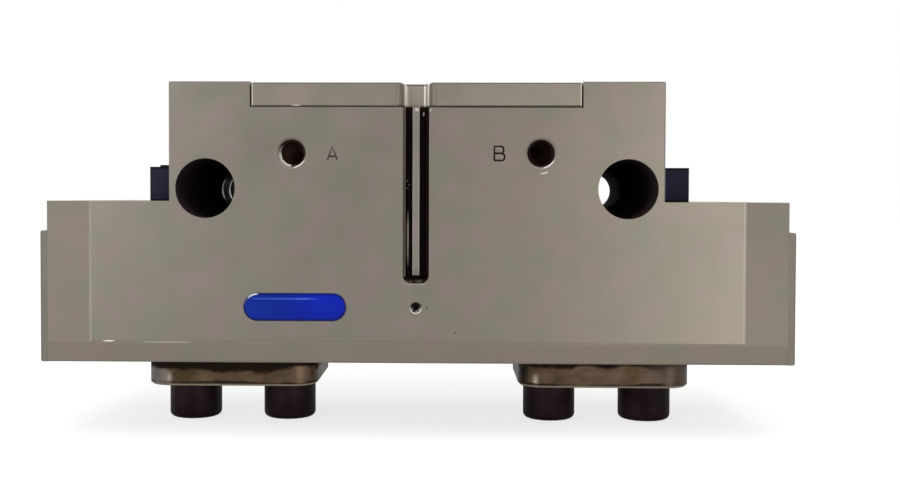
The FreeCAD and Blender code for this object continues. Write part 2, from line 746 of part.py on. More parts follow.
def cut_notch(body):
    """The notch in the cover's front edge, over the sensor slots."""
    mouth, floor = at["notch_mouth"] / 2, at["notch_floor"] / 2
    depth = at["notch_depth"] - half_depth
    start = mouth + OVERCUT * (mouth - floor) / at["notch_depth"]
    front = -half_depth - OVERCUT
    notch = [(-start, front), (start, front), (floor, depth), (-floor, depth)]
    pocket(body, outline(sketch_on(body, "XY_Plane"), notch), -2 * seat)
    for size, y, side in (("notch_round", -half_depth, mouth), ("notch_corner", depth, floor)):
        fillet(body, at[size], lambda e: spans(e, "Y", y) and any(spans(e, "X", x) for x in both(side)))


def make_cover():
    body = new_body("cylinder_cover")
    half = at["cover_length"] / 2
    top = -at["cover_drop"]
    plate = rectangle(sketch_on(body, "XY_Plane", top), -half, half, -half_depth, half_depth)
    pad(body, plate, at["cover_thickness"], reverse=True)
    cut_notch(body)
    chamfer(body, at["edge_break"], lambda e: spans(e, "Z", top) or any(
        spans(e, "Y", y) and (spans(e, "Z", seat) or any(spans(e, "X", x) for x in both(half)))
        for y in both(half_depth)))
    spigot = sketch_on(body, "XY_Plane", seat)
    pad(body, stadium(spigot, bore_length - 2 * at["spigot_fit"], bore_width - 2 * at["spigot_fit"]),
        at["spigot_height"], reverse=True)
    groove = sketch_on(body, "XY_Plane", seat)
    inner, outer = at["cover_seal_land"], at["cover_seal_land"] + at["cover_seal_width"]
    for edge in (inner - at["seal_side_gap"], outer + at["seal_side_gap"]):
        stadium(groove, bore_length + 2 * edge, bore_width + 2 * edge)
    pocket(body, groove, at["cover_seal_height"], reverse=True)
    shank_hole = thread_hole("cover_screw") + at["head_gap"]
    pocket(body, circles(sketch_on(body, "XY_Plane"), shank_hole, cover_screw_places), OVERCUT - seat)
    head_hole = at["cover_screw_head"] + 2 * at["head_gap"]
    head_seat = -(at["cover_drop"] + at["head_gap"] + at["cover_screw_head_height"])
    pocket(body, circles(sketch_on(body, "XY_Plane"), head_hole, cover_screw_places), -head_seat)

    seal = new_body("cover_seal")
    ring = sketch_on(seal, "XY_Plane", seat)
    for edge in (inner, outer):
        stadium(ring, bore_length + 2 * edge, bore_width + 2 * edge)
    pad(seal, ring, at["cover_seal_height"])

    at["cover_screw_grip"] = head_seat - seat
    group("cover_screws", cap_screw("cover_screw"), [facing(x, y, head_seat) for x, y in cover_screw_places])


# End covers of the jaw guide

def make_end_covers():
    body = new_body("right_end_cover")
    outer = half_body + at["end_cover_thickness"]
    plate = sketch_on(body, "YZ_Plane", half_body)
    rectangle(plate, -frame_face, frame_face, underside, underside + at["end_cover_height"])
    pad(body, plate, at["end_cover_thickness"])
    chamfer(body, at["edge_break"], lambda e: spans(e, "X", outer))
    clearance = sketch_on(body, "YZ_Plane", outer)
    pocket(body, circles(clearance, thread_hole("end_screw"), end_screw_places), at["end_cover_thickness"])
    rim = at["end_screw_head"] + 2 * at["thread_fit"]
    taper = (at["end_screw_head"] - at["end_screw_thread"]) / 2 / at["end_screw_head_height"]
    sink = sketch_on(body, "YZ_Plane", outer)
    cone = pocket(body, circles(sink, rim, end_screw_places), at["end_screw_head_height"])
    bind(cone, "TaperAngle", Size(-math.degrees(math.atan(taper.value)), f"-atan({taper.text})"))
    doc.recompute()
    mirrored(body, "left_end_cover")
    screw = countersunk_screw("end_screw")
    places = [facing(side * outer, y, z, (side, 0, 0)) for side in (-1, 1) for y, z in end_screw_places]
    group("end_cover_screws", screw, places)


# Seal and bush of the rod in the cylinder's floor

def make_rod_guide():
    ring_bore = at["rod_diameter"] + 2 * at["rod_fit"]
    seal = new_body("rod_seal")
    ring = sketch_on(seal, "XY_Plane", bore_floor - at["rod_seal_height"] - at["hook_gap"])
    circles(circles(ring, rod_seal_bore, [(0, 0)]), ring_bore, [(0, 0)])
    pad(seal, ring, at["rod_seal_height"])
    bush = new_body("rod_bush")
    ring = sketch_on(bush, "XY_Plane", hook_roof)
    circles(circles(ring, bush_bore, [(0, 0)]), ring_bore, [(0, 0)])
    pad(bush, ring, at["web_thickness"] - at["rod_seal_height"] - at["hook_gap"])


# Piston with its seal, magnet and screw

def make_piston():
    body = new_body("piston")
    length, width = bore_length - 2 * at["piston_fit"], bore_width - 2 * at["piston_fit"]
    depth = at["piston_groove_depth"]
    land = (at["piston_thickness"] - at["piston_groove_width"]) / 2
    groove_low = piston_bottom + land
    groove_high = groove_low + at["piston_groove_width"]
    pad(body, stadium(sketch_on(body, "XY_Plane", piston_bottom), length, width), land)
    core = stadium(sketch_on(body, "XY_Plane", groove_low), length - 2 * depth, width - 2 * depth)
    pad(body, core, at["piston_groove_width"])
    pad(body, stadium(sketch_on(body, "XY_Plane", groove_high), length, width), land)
    chamfer(body, at["piston_chamfer"], lambda e: spans(e, "Z", piston_top) or spans(e, "Z", piston_bottom))
    screw_head = circles(sketch_on(body, "XY_Plane", piston_top),
                         at["piston_screw_head"] + 2 * at["head_gap"], [(0, 0)])
    pocket(body, screw_head, at["piston_screw_head_height"] + at["head_gap"])
    pocket(body, circles(sketch_on(body, "XY_Plane", piston_top), thread_hole("piston_screw"), [(0, 0)]),
           at["piston_thickness"])
    spigot = circles(sketch_on(body, "XY_Plane", piston_bottom),
                     at["rod_spigot_diameter"] + 2 * at["rod_fit"], [(0, 0)])
    pocket(body, spigot, at["rod_spigot_height"], reverse=True)

    magnet_x = at["magnet_length"] / 2
    magnet_front = -width / 2 + at["piston_chamfer"] + at["cam_fit"]
    magnet_back = magnet_front + at["magnet_depth"]
    slot = sketch_on(body, "XY_Plane", piston_bottom)
    fit = at["cam_fit"]
    rectangle(slot, -magnet_x - fit, magnet_x + fit, magnet_front - fit, magnet_back + fit)
    pocket(body, slot, at["magnet_height"], reverse=True)
    magnet = new_body("piston_magnet")
    block = sketch_on(magnet, "XY_Plane", piston_bottom)
    pad(magnet, rectangle(block, -magnet_x, magnet_x, magnet_front, magnet_back), at["magnet_height"])

    seal = new_body("piston_seal")
    ring = sketch_on(seal, "XY_Plane", groove_low + at["seal_side_gap"])
    fit = at["piston_seal_fit"]
    stadium(ring, bore_length - 2 * fit, bore_width - 2 * fit)
    inner = depth - at["seal_side_gap"]
    stadium(ring, length - 2 * inner, width - 2 * inner)
    pad(seal, ring, at["piston_groove_width"] - 2 * at["seal_side_gap"])

    bearing = piston_top - at["piston_screw_head_height"] - at["head_gap"]
    at["piston_screw_grip"] = bearing - piston_bottom - at["rod_spigot_height"]
    group("piston_screw", cap_screw("piston_screw"), [facing(0, 0, bearing)])


# Wedge hook: a round rod on a block with an inclined T-slot on each side

def make_wedge_hook():
    body = new_body("wedge_hook")
    foot, crown = hook_face(hook_bottom), hook_face(hook_top)
    block = [(-foot, hook_bottom), (foot, hook_bottom), (crown, hook_top), (-crown, hook_top)]
    pad(body, outline(sketch_on(body, "XZ_Plane"), block), at["hook_depth"], midplane=True)
    low, high = hook_bottom - at["hook_gap"], hook_top + at["hook_gap"]
    lip, bottom = at["hook_lip"], at["hook_lip"] + at["tongue_head"] + 2 * at["wedge_gap"]
    gap = 2 * at["wedge_gap"]
    for start, end, width in ((-gap, lip, at["tongue_neck_width"]), (lip, bottom, at["tongue_head_width"])):
        for side in (-1, 1):
            strip = [(hook_face(low) - end, low), (hook_face(low) - start, low),
                     (hook_face(high) - start, high), (hook_face(high) - end, high)]
            slot = outline(sketch_on(body, "XZ_Plane"), [(side * x, z) for x, z in strip])
            pocket(body, slot, width + gap, midplane=True)
    rod = circles(sketch_on(body, "XY_Plane", hook_top), at["rod_diameter"], [(0, 0)])
    pad(body, rod, piston_bottom - hook_top)
    spigot = circles(sketch_on(body, "XY_Plane", piston_bottom), at["rod_spigot_diameter"], [(0, 0)])
    pad(body, spigot, at["rod_spigot_height"])
    thread = sketch_on(body, "XY_Plane", piston_bottom + at["rod_spigot_height"])
    depth = at["piston_screw_reach"] + at["thread_end_gap"]
    pocket(body, circles(thread, thread_hole("piston_screw"), [(0, 0)]), depth)


# Base jaws with their screws, sleeves and switching cams, the right one modelled and the left one mirrored

def make_jaws():
    body = new_body("right_base_jaw")
    tip = jaw_face(rail_bottom)
    section = guide_section(0, rail_bottom, rail_top)
    pad(body, outline(sketch_on(body, "YZ_Plane", tip), section), rail_end - tip)

    low, high = rail_bottom - OVERCUT, rail_top + OVERCUT
    behind = tip - at["tongue_head"]
    wedge = [(jaw_face(low), low), (jaw_face(high), high), (behind, high), (behind, low)]
    pocket(body, outline(sketch_on(body, "XZ_Plane"), wedge), at["body_depth"], midplane=True)

    tongue_low = rail_bottom + (at["tongue_centre_gap"] + tongue_reach - at["jaw_tip_gap"]) / wedge_slope
    neck = at["wedge_gap"] * 2 + at["hook_lip"]
    for start, end, width in ((-at["hook_lip"], neck, at["tongue_neck_width"]),
                              (neck, tongue_reach, at["tongue_head_width"])):
        strip = [(jaw_face(tongue_low) - start, tongue_low), (jaw_face(rail_top) - start, rail_top),
                 (jaw_face(rail_top) - end, rail_top), (jaw_face(tongue_low) - end, tongue_low)]
        pad(body, outline(sketch_on(body, "XZ_Plane"), strip), width, midplane=True)

    neck_corner = at["pad_corner"] - (at["pad_width"] - at["neck_width"]) / 2
    foot = sketch_on(body, "XY_Plane", rail_bottom)
    side_step = at["pad_width"] - at["neck_width"]
    rounded_rectangle(foot, pad_centre, 0, at["pad_length"] - side_step, at["neck_width"], neck_corner)
    pad(body, foot, at["jaw_set_back"] + at["pad_gap"], reverse=True)
    face = sketch_on(body, "XY_Plane", underside - at["pad_gap"])
    rounded_rectangle(face, pad_centre, 0, at["pad_length"], at["pad_width"], at["pad_corner"])
    pad(body, face, at["pad_drop"] - at["pad_gap"], reverse=True)
    chamfer(body, at["pad_edge"], lambda e: spans(e, "Z", pad_face))

    holes = circles(sketch_on(body, "XY_Plane", pad_face), thread_hole("jaw_screw"), jaw_screw_places)
    pocket(body, holes, at["jaw_screw_reach"] + at["thread_end_gap"], reverse=True)
    seats = at["sleeve_diameter"] + 2 * at["thread_fit"]
    pocket(body, circles(sketch_on(body, "XY_Plane", pad_face), seats, jaw_screw_places), at["sleeve_seat"],
           reverse=True)
    cam_x, cam_y = at["cam_length"] / 2, at["cam_width"] / 2
    fit = at["cam_fit"]
    slot = sketch_on(body, "XY_Plane", rail_top)
    rectangle(slot, cam_centre - cam_x - fit, cam_centre + cam_x + fit, -cam_y - fit, cam_y + fit)
    pocket(body, slot, at["cam_thickness"])
    cam_floor = rail_top - at["cam_thickness"]
    pocket(body, circles(sketch_on(body, "XY_Plane", cam_floor), thread_hole("cam_screw"), cam_screw_places),
           at["cam_screw_reach"] + at["thread_end_gap"])
    mirrored(body, "left_base_jaw")

    at["jaw_screw_grip"] = at["sleeve_proud"]
    screw = cap_screw("jaw_screw")
    sleeve = new_body("sleeve_master", exported=False)
    bore = thread_hole("jaw_screw") + at["head_gap"]
    ring = circles(circles(sketch_on(sleeve, "XY_Plane"), at["sleeve_diameter"], [(0, 0)]), bore, [(0, 0)])
    pad(sleeve, ring, at["sleeve_proud"] + at["sleeve_seat"], reverse=True)
    for hand, side in (("left", -1), ("right", 1)):
        places = [facing(side * x, y, sleeve_face, (0, 0, -1)) for x, y in jaw_screw_places]
        group(hand + "_jaw_screws", screw, places)
        group(hand + "_centering_sleeves", sleeve, places)

    cam = new_body("right_switching_cam")
    block = sketch_on(cam, "XY_Plane", cam_floor)
    pad(cam, rectangle(block, cam_centre - cam_x, cam_centre + cam_x, -cam_y, cam_y), at["cam_thickness"])
    pocket(cam, circles(sketch_on(cam, "XY_Plane", rail_top), thread_hole("cam_screw"), cam_screw_places),
           at["cam_thickness"])
    head = at["cam_screw_head"] + 2 * at["thread_fit"]
    sinks = circles(sketch_on(cam, "XY_Plane", rail_top), head, cam_screw_places)
    pocket(cam, sinks, at["cam_screw_head_height"])
    mirrored(cam, "left_switching_cam")
    bearing = rail_top - at["cam_screw_head_height"]
    at["cam_screw_grip"] = at["cam_thickness"] - at["cam_screw_head_height"]
    screw = cap_screw("cam_screw")
    for hand, side in (("left", -1), ("right", 1)):
        group(hand + "_cam_screws", screw, [facing(side * x, y, bearing) for x, y in cam_screw_places])


# Sensor brackets on the shoulders: one piece for both sides, so the left one is the right one turned round

HALF_TURN = FreeCAD.Placement(FreeCAD.Vector(), FreeCAD.Rotation(FreeCAD.Vector(0, 0, 1), 180))


def make_brackets():
    body = new_body("right_sensor_bracket")
    outer = half_upper + at["bracket_width"]
    depth = at["bracket_depth"] / 2
    block = sketch_on(body, "XY_Plane", shoulder)
    pad(body, rectangle(block, half_upper, outer, -depth, depth), at["bracket_height"])
    ledge = sketch_on(body, "XY_Plane", bracket_top)
    ledge_end, ledge_start = half_upper + at["bracket_lip_width"], depth - at["bracket_lip_length"]
    pad(body, rectangle(ledge, half_upper, ledge_end, ledge_start, depth), at["bracket_lip"])
    ends = both(depth)
    fillet(body, at["bracket_corner"], lambda e: spans(e, "X", outer) and any(spans(e, "Y", y) for y in ends))
    above = bracket_top + at["bracket_lip"]
    drop = above - shoulder
    head_drop = at["bracket_lip"] + at["bracket_screw_head_height"] + at["head_gap"]
    for size, places, hole_depth in (
        (at["bracket_bore"], [(sensor_x, 0)], drop),
        (thread_hole("bracket_screw"), bracket_screw_places, drop),
        (at["bracket_screw_head"] + 2 * at["head_gap"], bracket_screw_places, head_drop),
    ):
        pocket(body, circles(sketch_on(body, "XY_Plane", above), size, places), hole_depth)
    clamp_z = shoulder + at["bracket_height"] / 2
    clamp_length = at["bracket_width"] / 2 - at["bracket_bore"] / 2
    hole = sketch_on(body, "YZ_Plane", outer)
    pocket(body, circles(hole, thread_hole("clamp_screw"), [(0, clamp_z)]), at["bracket_width"] / 2)
    group("left_sensor_bracket", body, [HALF_TURN])

    bearing = above - head_drop
    at["bracket_screw_grip"] = bearing - shoulder
    screw = cap_screw("bracket_screw")
    group("bracket_screws", screw, [facing(x, y, bearing) for x, y in on_both_sides(bracket_screw_places)])
    screw = set_screw("clamp_screw", at["clamp_screw_thread"], clamp_length, at["clamp_screw_socket"])
    places = [facing(side * outer, 0, clamp_z, (side, 0, 0)) for side in (-1, 1)]
    group("sensor_clamp_screws", screw, places)


# Plug of the purge port, and the badge

def make_front_details():
    plug = set_screw("plug", at["purge_thread"] - 2 * at["thread_fit"], at["plug_length"], at["plug_socket"])
    front = at["plug_recess"] - half_depth
    group("purge_plug", plug, [facing(0, front, purge_z, (0, -1, 0))])
    badge = new_body("front_badge")
    plate = sketch_on(badge, "XZ_Plane", half_depth)
    stadium(plate, at["badge_length"], at["badge_width"], -at["badge_offset"], underside + at["badge_rise"])
    pad(badge, plate, at["badge_thickness"])
    face = -half_depth - at["badge_thickness"]
    chamfer(badge, at["badge_thickness"] / 2, lambda e: spans(e, "Y", face))


make_housing()
make_cover()
make_end_covers()
make_rod_guide()
make_piston()
make_wedge_hook()
make_jaws()
make_brackets()
make_front_details()
doc.recompute()

for item in doc.Objects:
    if {"Invalid", "Error"} & set(item.State):
        raise RuntimeError(f"{item.Label} failed: {item.State}")
for piece in subparts:
    if piece.Shape.isNull() or not piece.Shape.isValid() or not piece.Shape.Solids:
        raise RuntimeError(f"{piece.Label} has no valid solid")

os.makedirs("parts", exist_ok=True)
for piece in subparts:
    piece.Shape.exportStep(f"parts/{piece.Label}.step")
    print(f"{piece.Label}: {len(piece.Shape.Solids)} solids, {piece.Shape.Volume:.0f} mm3")
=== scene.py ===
import math

import bmesh
import bpy
from mathutils import Matrix, Vector


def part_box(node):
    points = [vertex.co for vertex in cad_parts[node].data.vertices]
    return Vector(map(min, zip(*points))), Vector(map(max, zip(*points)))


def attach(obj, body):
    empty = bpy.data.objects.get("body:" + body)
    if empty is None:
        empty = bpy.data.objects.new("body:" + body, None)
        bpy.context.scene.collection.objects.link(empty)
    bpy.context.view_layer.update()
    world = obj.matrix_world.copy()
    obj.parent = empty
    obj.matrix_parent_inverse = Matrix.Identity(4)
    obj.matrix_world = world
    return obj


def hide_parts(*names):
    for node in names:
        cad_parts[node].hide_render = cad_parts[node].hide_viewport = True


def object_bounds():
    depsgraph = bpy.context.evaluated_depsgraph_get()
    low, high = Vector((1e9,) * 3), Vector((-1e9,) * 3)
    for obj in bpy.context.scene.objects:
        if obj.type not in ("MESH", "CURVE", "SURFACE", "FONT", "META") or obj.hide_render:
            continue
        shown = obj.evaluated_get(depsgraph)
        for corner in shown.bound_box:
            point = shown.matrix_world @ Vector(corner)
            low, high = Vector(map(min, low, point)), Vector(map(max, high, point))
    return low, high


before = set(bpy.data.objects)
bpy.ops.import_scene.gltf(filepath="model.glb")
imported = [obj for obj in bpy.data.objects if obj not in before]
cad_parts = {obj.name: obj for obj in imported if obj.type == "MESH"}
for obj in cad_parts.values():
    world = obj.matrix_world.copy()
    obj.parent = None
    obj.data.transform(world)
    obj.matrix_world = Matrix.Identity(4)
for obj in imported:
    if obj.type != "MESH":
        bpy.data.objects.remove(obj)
cad_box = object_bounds()

# Housing
# One block of aluminium, milled all over and hard anodised to a warm satin grey. Its ends and its foot stand
# 1 mm proud of the panel between them, and its bores and sensor slots are dark with old oil and painted
# shade.
# Painted light and highlights lie on parts of its panel, edges, ports and holes.

MM = 0.001
NUMBER, COLOUR, VECTOR = "NodeSocketFloat", "NodeSocketColor", "NodeSocketVector"


def shade(red, green, blue):
    """A display colour, 0 to 255, as the linear colour that a shader takes."""
    parts = [part / 255 for part in (red, green, blue)]
    return [part / 12.92 if part <= 0.04045 else ((part + 0.055) / 1.055) ** 2.4 for part in parts] + [1.0]


def add_node(tree, kind, inputs=None, **settings):
    """A new node with its settings, and each input set to a value or linked to another node's socket."""
    made = tree.nodes.new(kind)
    for name, value in settings.items():
        setattr(made, name, value)
    for socket, value in (inputs or {}).items():
        if isinstance(value, bpy.types.NodeSocket):
            tree.links.new(value, made.inputs[socket])
        else:
            made.inputs[socket].default_value = value
    return made


def work_out(operation, first, second=0.0):
    """One step of arithmetic on two values, at least one of them a socket, or on the first alone."""
    tree = (first if isinstance(first, bpy.types.NodeSocket) else second).id_data
    return add_node(tree, "ShaderNodeMath", {0: first, 1: second}, operation=operation).outputs[0]


def raise_by(value, mask, amount):
    """The value, raised by the amount where the mask is."""
    return work_out("ADD", value, work_out("MULTIPLY", mask, amount))


def square_distance(across, above):
    """The square of the distance that two steps at right angles make."""
    return work_out("ADD", work_out("POWER", across, 2.0), work_out("POWER", above, 2.0))


def stretch(value, low, high):
    """0 where the value is low, 1 where it is high, and even in between."""
    limits = {"Value": value, "From Min": low, "From Max": high}
    return add_node(value.id_data, "ShaderNodeMapRange", limits).outputs["Result"]


def between(value, low, high, soft=0.05):
    """1 where the value lies between low and high, with soft ends."""
    rising = stretch(value, low - soft, low + soft)
    falling = stretch(value, high + soft, high - soft)
    return work_out("MULTIPLY", rising, falling)


def overlap(first, *others):
    """1 only where all of the masks are."""
    for other in others:
        first = work_out("MULTIPLY", first, other)
    return first


def either(first, *others):
    """1 where any of the masks is."""
    for other in others:
        first = work_out("MAXIMUM", first, other)
    return first


def outside(mask):
    """1 where the mask is not."""
    return work_out("SUBTRACT", 1.0, mask)


def mix_colours(share, first, second):
    """The first colour, with that share of the second in it."""
    colours = {0: share, 6: first, 7: second}
    return add_node(share.id_data, "ShaderNodeMix", colours, data_type="RGBA").outputs[2]


def noise(tree, scale, detail=2.0, stretch_to=(1, 1, 1)):
    """Noise on Object coordinates, drawn out along the axes that have a smaller number."""
    place = add_node(tree, "ShaderNodeTexCoord").outputs["Object"]
    drawn = add_node(tree, "ShaderNodeMapping", {"Vector": place, "Scale": stretch_to}).outputs["Vector"]
    inputs = {"Vector": drawn, "Scale": scale, "Detail": detail}
    return add_node(tree, "ShaderNodeTexNoise", inputs).outputs[0]


def parts_of_place(tree):
    """The X, Y and Z in mm of a point on the object, as sockets."""
    place = add_node(tree, "ShaderNodeTexCoord").outputs["Object"]
    in_mm = add_node(tree, "ShaderNodeVectorMath", {0: place, "Scale": 1 / MM}, operation="SCALE").outputs[0]
    return add_node(tree, "ShaderNodeSeparateXYZ", {0: in_mm}).outputs


def new_group(name, inputs, outputs):
    """An empty shader node group, with the sockets that it is given and those that it puts out."""
    group = bpy.data.node_groups.new(name, "ShaderNodeTree")
    for socket, kind in inputs.items():
        group.interface.new_socket(socket, in_out="INPUT", socket_type=kind)
    for socket, kind in outputs.items():
        group.interface.new_socket(socket, in_out="OUTPUT", socket_type=kind)
    given = group.nodes.new("NodeGroupInput").outputs
    result = group.nodes.new("NodeGroupOutput").inputs
    return group, given, result


def use_group(tree, group, inputs):
    """The outputs of a shader node group, placed in the tree with its own values."""
    return add_node(tree, "ShaderNodeGroup", inputs, node_tree=group).outputs


# Soft clouds of two tints, as a coating has over its whole face.
clouds, given, result = new_group(
    "coating_clouds", {"Light": COLOUR, "Dark": COLOUR, "Scale": NUMBER}, {"Colour": COLOUR}
)
patches = stretch(noise(clouds, given["Scale"], 3.0), 0.36, 0.64)
clouds.links.new(mix_colours(patches, given["Light"], given["Dark"]), result["Colour"])

# Fine grain in the gloss and the relief, as blasting, grinding or moulding leaves.
GRAIN_SCALE, GRAIN_DEPTH = 2600.0, 0.05 * MM
grain, given, result = new_group(
    "fine_grain", {"Scale": NUMBER, "Smooth": NUMBER, "Rough": NUMBER},
    {"Roughness": NUMBER, "Height": NUMBER},
)
specks = noise(grain, given["Scale"])
patchy = noise(grain, work_out("MULTIPLY", given["Scale"], 0.02))
mixed = raise_by(work_out("MULTIPLY", specks, 0.4), patchy, 0.6)
span = work_out("SUBTRACT", given["Rough"], given["Smooth"])
grain.links.new(raise_by(given["Smooth"], stretch(mixed, 0.3, 0.7), span), result["Roughness"])
grain.links.new(specks, result["Height"])

# Edges that are a little rounded and worn in places. The mask takes in inside corners too, where a darker
# edge colour is painted shade.
edges, given, result = new_group("rubbed_edges_and_inside_corners", {"Width": NUMBER}, {"Mask": NUMBER, "Normal": VECTOR})
rounded = add_node(edges, "ShaderNodeBevel", {"Radius": given["Width"]}, samples=4).outputs["Normal"]
true_normal = add_node(edges, "ShaderNodeNewGeometry").outputs["True Normal"]
likeness = add_node(
    edges, "ShaderNodeVectorMath", {0: rounded, 1: true_normal}, operation="DOT_PRODUCT"
).outputs["Value"]
bend = stretch(likeness, 0.98, 0.8)
broken = stretch(noise(edges, 180.0, 3.0), 0.42, 0.62)
edges.links.new(overlap(bend, broken), result["Mask"])
edges.links.new(rounded, result["Normal"])

# The inside of the bores that run along Y, the same left and right.
bores, given, result = new_group(
    "oily_bore", {"Axis X": NUMBER, "Axis Z": NUMBER, "Radius": NUMBER, "Mouth": NUMBER},
    {"Mask": NUMBER, "Distance": NUMBER},
)
along, inward, height = parts_of_place(bores)
across = work_out("SUBTRACT", work_out("ABSOLUTE", along), given["Axis X"])
above = work_out("SUBTRACT", height, given["Axis Z"])
distance = work_out("SQRT", square_distance(across, above))
inside = work_out("LESS_THAN", distance, given["Radius"])
below_face = work_out("LESS_THAN", work_out("ABSOLUTE", inward), given["Mouth"])
bores.links.new(overlap(inside, below_face), result["Mask"])
bores.links.new(distance, result["Distance"])

# One small mark on the front, such as a scratch or a painted highlight: an ellipse with soft ends, seen down
# to some depth.
PANEL, MARK_SHARE = 60, 0.85
MARK_SIZES = ("X", "Z", "Half length", "Half height", "Depth")
marks, given, result = new_group("small_mark", dict.fromkeys(MARK_SIZES, NUMBER), {"Mask": NUMBER})
along, inward, height = parts_of_place(marks)
across = work_out("DIVIDE", work_out("SUBTRACT", along, given["X"]), given["Half length"])
above = work_out("DIVIDE", work_out("SUBTRACT", height, given["Z"]), given["Half height"])
in_ellipse = stretch(square_distance(across, above), 1.0, 0.4)
in_front = work_out("LESS_THAN", work_out("ADD", inward, PANEL), given["Depth"])
marks.links.new(overlap(in_ellipse, in_front), result["Mask"])


def coated(
    name, light, dark, cloud_scale, smooth, rough, edge_width, edge_colour, relief, metallic, shine=0.5
):
    """A finish of soft clouds and fine grain, with edges a little rounded and worn over a width in mm, and
    inside corners in the edge colour, painted shade where it is darker.
    """
    material = bpy.data.materials.new(name)
    material.use_nodes = True
    tree = material.node_tree
    shader = tree.nodes["Principled BSDF"]
    shader.inputs["Metallic"].default_value = metallic
    shader.inputs["Specular IOR Level"].default_value = shine
    tint = use_group(tree, clouds, {"Light": shade(*light), "Dark": shade(*dark), "Scale": cloud_scale})
    surface = use_group(tree, grain, {"Scale": GRAIN_SCALE, "Smooth": smooth, "Rough": rough})
    edge = use_group(tree, edges, {"Width": edge_width * MM})
    worn_and_shaded = mix_colours(edge["Mask"], tint["Colour"], shade(*edge_colour))
    tree.links.new(worn_and_shaded, shader.inputs["Base Color"])
    tree.links.new(surface["Roughness"], shader.inputs["Roughness"])
    bump = add_node(
        tree, "ShaderNodeBump",
        {"Strength": relief, "Distance": GRAIN_DEPTH, "Height": surface["Height"], "Normal": edge["Normal"]},
    )
    tree.links.new(bump.outputs["Normal"], shader.inputs["Normal"])
    return material


def lay_over(material, *layers):
    """Lays colours over the material in turn, each layer with its mask, its colour and its share."""
    tree = material.node_tree
    socket = tree.nodes["Principled BSDF"].inputs["Base Color"]
    for mask, colour, share in layers:
        paint = colour if isinstance(colour, bpy.types.NodeSocket) else shade(*colour)
        below = socket.links[0].from_socket
        tree.links.new(mix_colours(work_out("MULTIPLY", mask, share), below, paint), socket)


def dull(material, mask, amount):
    """Makes the material rougher where the mask is."""
    tree = material.node_tree
    socket = tree.nodes["Principled BSDF"].inputs["Roughness"]
    tree.links.new(raise_by(socket.links[0].from_socket, mask, amount), socket)


def cover_metal(material, *masks, share=1.0):
    """Hides that share of the metal under films, such as old oil, where the masks are."""
    tree = material.node_tree
    socket = tree.nodes["Principled BSDF"].inputs["Metallic"]
    for mask in masks:
        below = socket.links[0].from_socket if socket.is_linked else socket.default_value
        bare = outside(work_out("MULTIPLY", mask, share))
        tree.links.new(work_out("MULTIPLY", bare, below), socket)


def lay_films(material, *layers):
    """Lays colours over the material that hide the metal under them in the same share."""
    lay_over(material, *layers)
    for mask, _, share in layers:
        cover_metal(material, mask, share=share)


def add_marks(material, rows):
    """Lays small marks over the material, each row with its sizes in mm and its colour."""
    for *sizes, colour in rows:
        mark = use_group(material.node_tree, marks, dict(zip(MARK_SIZES, sizes)))
        lay_films(material, (mark["Mask"], colour, MARK_SHARE))


def finish_node(node, material):
    """Gives a carried-over CAD node its finish."""
    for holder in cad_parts[node].material_slots:
        holder.material = material


anodised = coated(
    "housing_anodised", light=(160, 147, 140), dark=(150, 147, 134), cloud_scale=80.0, smooth=0.32, rough=0.4,
    edge_width=0.25, edge_colour=(122, 115, 106), relief=0.25, metallic=0.9, shine=0.12,
)
tree = anodised.node_tree
along, inward, height = parts_of_place(tree)
sideways = work_out("ABSOLUTE", along)
outward = work_out("ABSOLUTE", inward)
sunk = work_out("ADD", inward, PANEL)
on_panel = between(sunk, -0.03, 0.03)
on_left = work_out("LESS_THAN", along, 0.0)
patchy = stretch(noise(tree, 70.0, 3.0), 0.38, 0.58)

# Painted light and shade: the panel is painted paler low on the right, and darker above that, for the way the
# lamps light it.
front_panel = stretch(sunk, 0.3, 0.2)
painted_light_corner = overlap(front_panel, stretch(along, 40, 125), stretch(height, -72, -108))
painted_shade_corner = overlap(front_panel, stretch(along, 105, 135), stretch(height, -78, -50))
lay_over(anodised, (painted_light_corner, (176, 167, 153), 0.6), (painted_shade_corner, (142, 133, 124), 0.6))

# The raised frame and the foot are milled a second time and are duller. Painted highlights lie on the steps
# along them, a stretch of the base edge and the foot's edge, and painted shade on the top edge.
FRAME_END, FRAME_BASE, FOOT = 136.9, -108.9, -117.5
raised = stretch(outward, PANEL + 0.4, PANEL + 0.6)
milled_tint = use_group(
    tree, clouds, {"Light": shade(150, 134, 128), "Dark": shade(137, 137, 119), "Scale": 55.0}
)["Colour"]
on_foot = overlap(raised, stretch(height, FRAME_BASE, FRAME_BASE - 1))
lay_over(anodised, (raised, milled_tint, 0.7), (on_foot, (112, 105, 93), 0.27))
dull(anodised, raised, 0.25)
cover_metal(anodised, raised, share=0.6)
step_wall_highlight = overlap(
    between(outward, PANEL + 0.08, PANEL + 0.92), stretch(sideways, FRAME_END + 0.2, FRAME_END),
    stretch(height, FRAME_BASE + 0.05, FRAME_BASE + 0.2),
)
step_line_highlight = overlap(
    between(sideways, FRAME_END - 0.7, FRAME_END, 0.15), stretch(height, FRAME_BASE - 0.2, FRAME_BASE),
    stretch(outward, PANEL - 0.2, PANEL - 0.1),
)
base_edge_highlight = overlap(raised, between(height, FRAME_BASE - 0.3, FRAME_BASE), between(along, -114, -95, 2))
foot_edge_highlight = overlap(raised, between(height, FOOT, FOOT + 0.5))
top_edge_shade = overlap(stretch(height, -0.6, -0.5), stretch(sunk, 0.4, 0.3))
lay_films(
    anodised, (step_wall_highlight, (232, 226, 212), 0.9), (step_line_highlight, (216, 208, 194), 0.7),
    (base_edge_highlight, (222, 214, 200), 0.6), (foot_edge_highlight, (176, 167, 153), 0.6), (top_edge_shade, (104, 100, 92), 0.6),
)

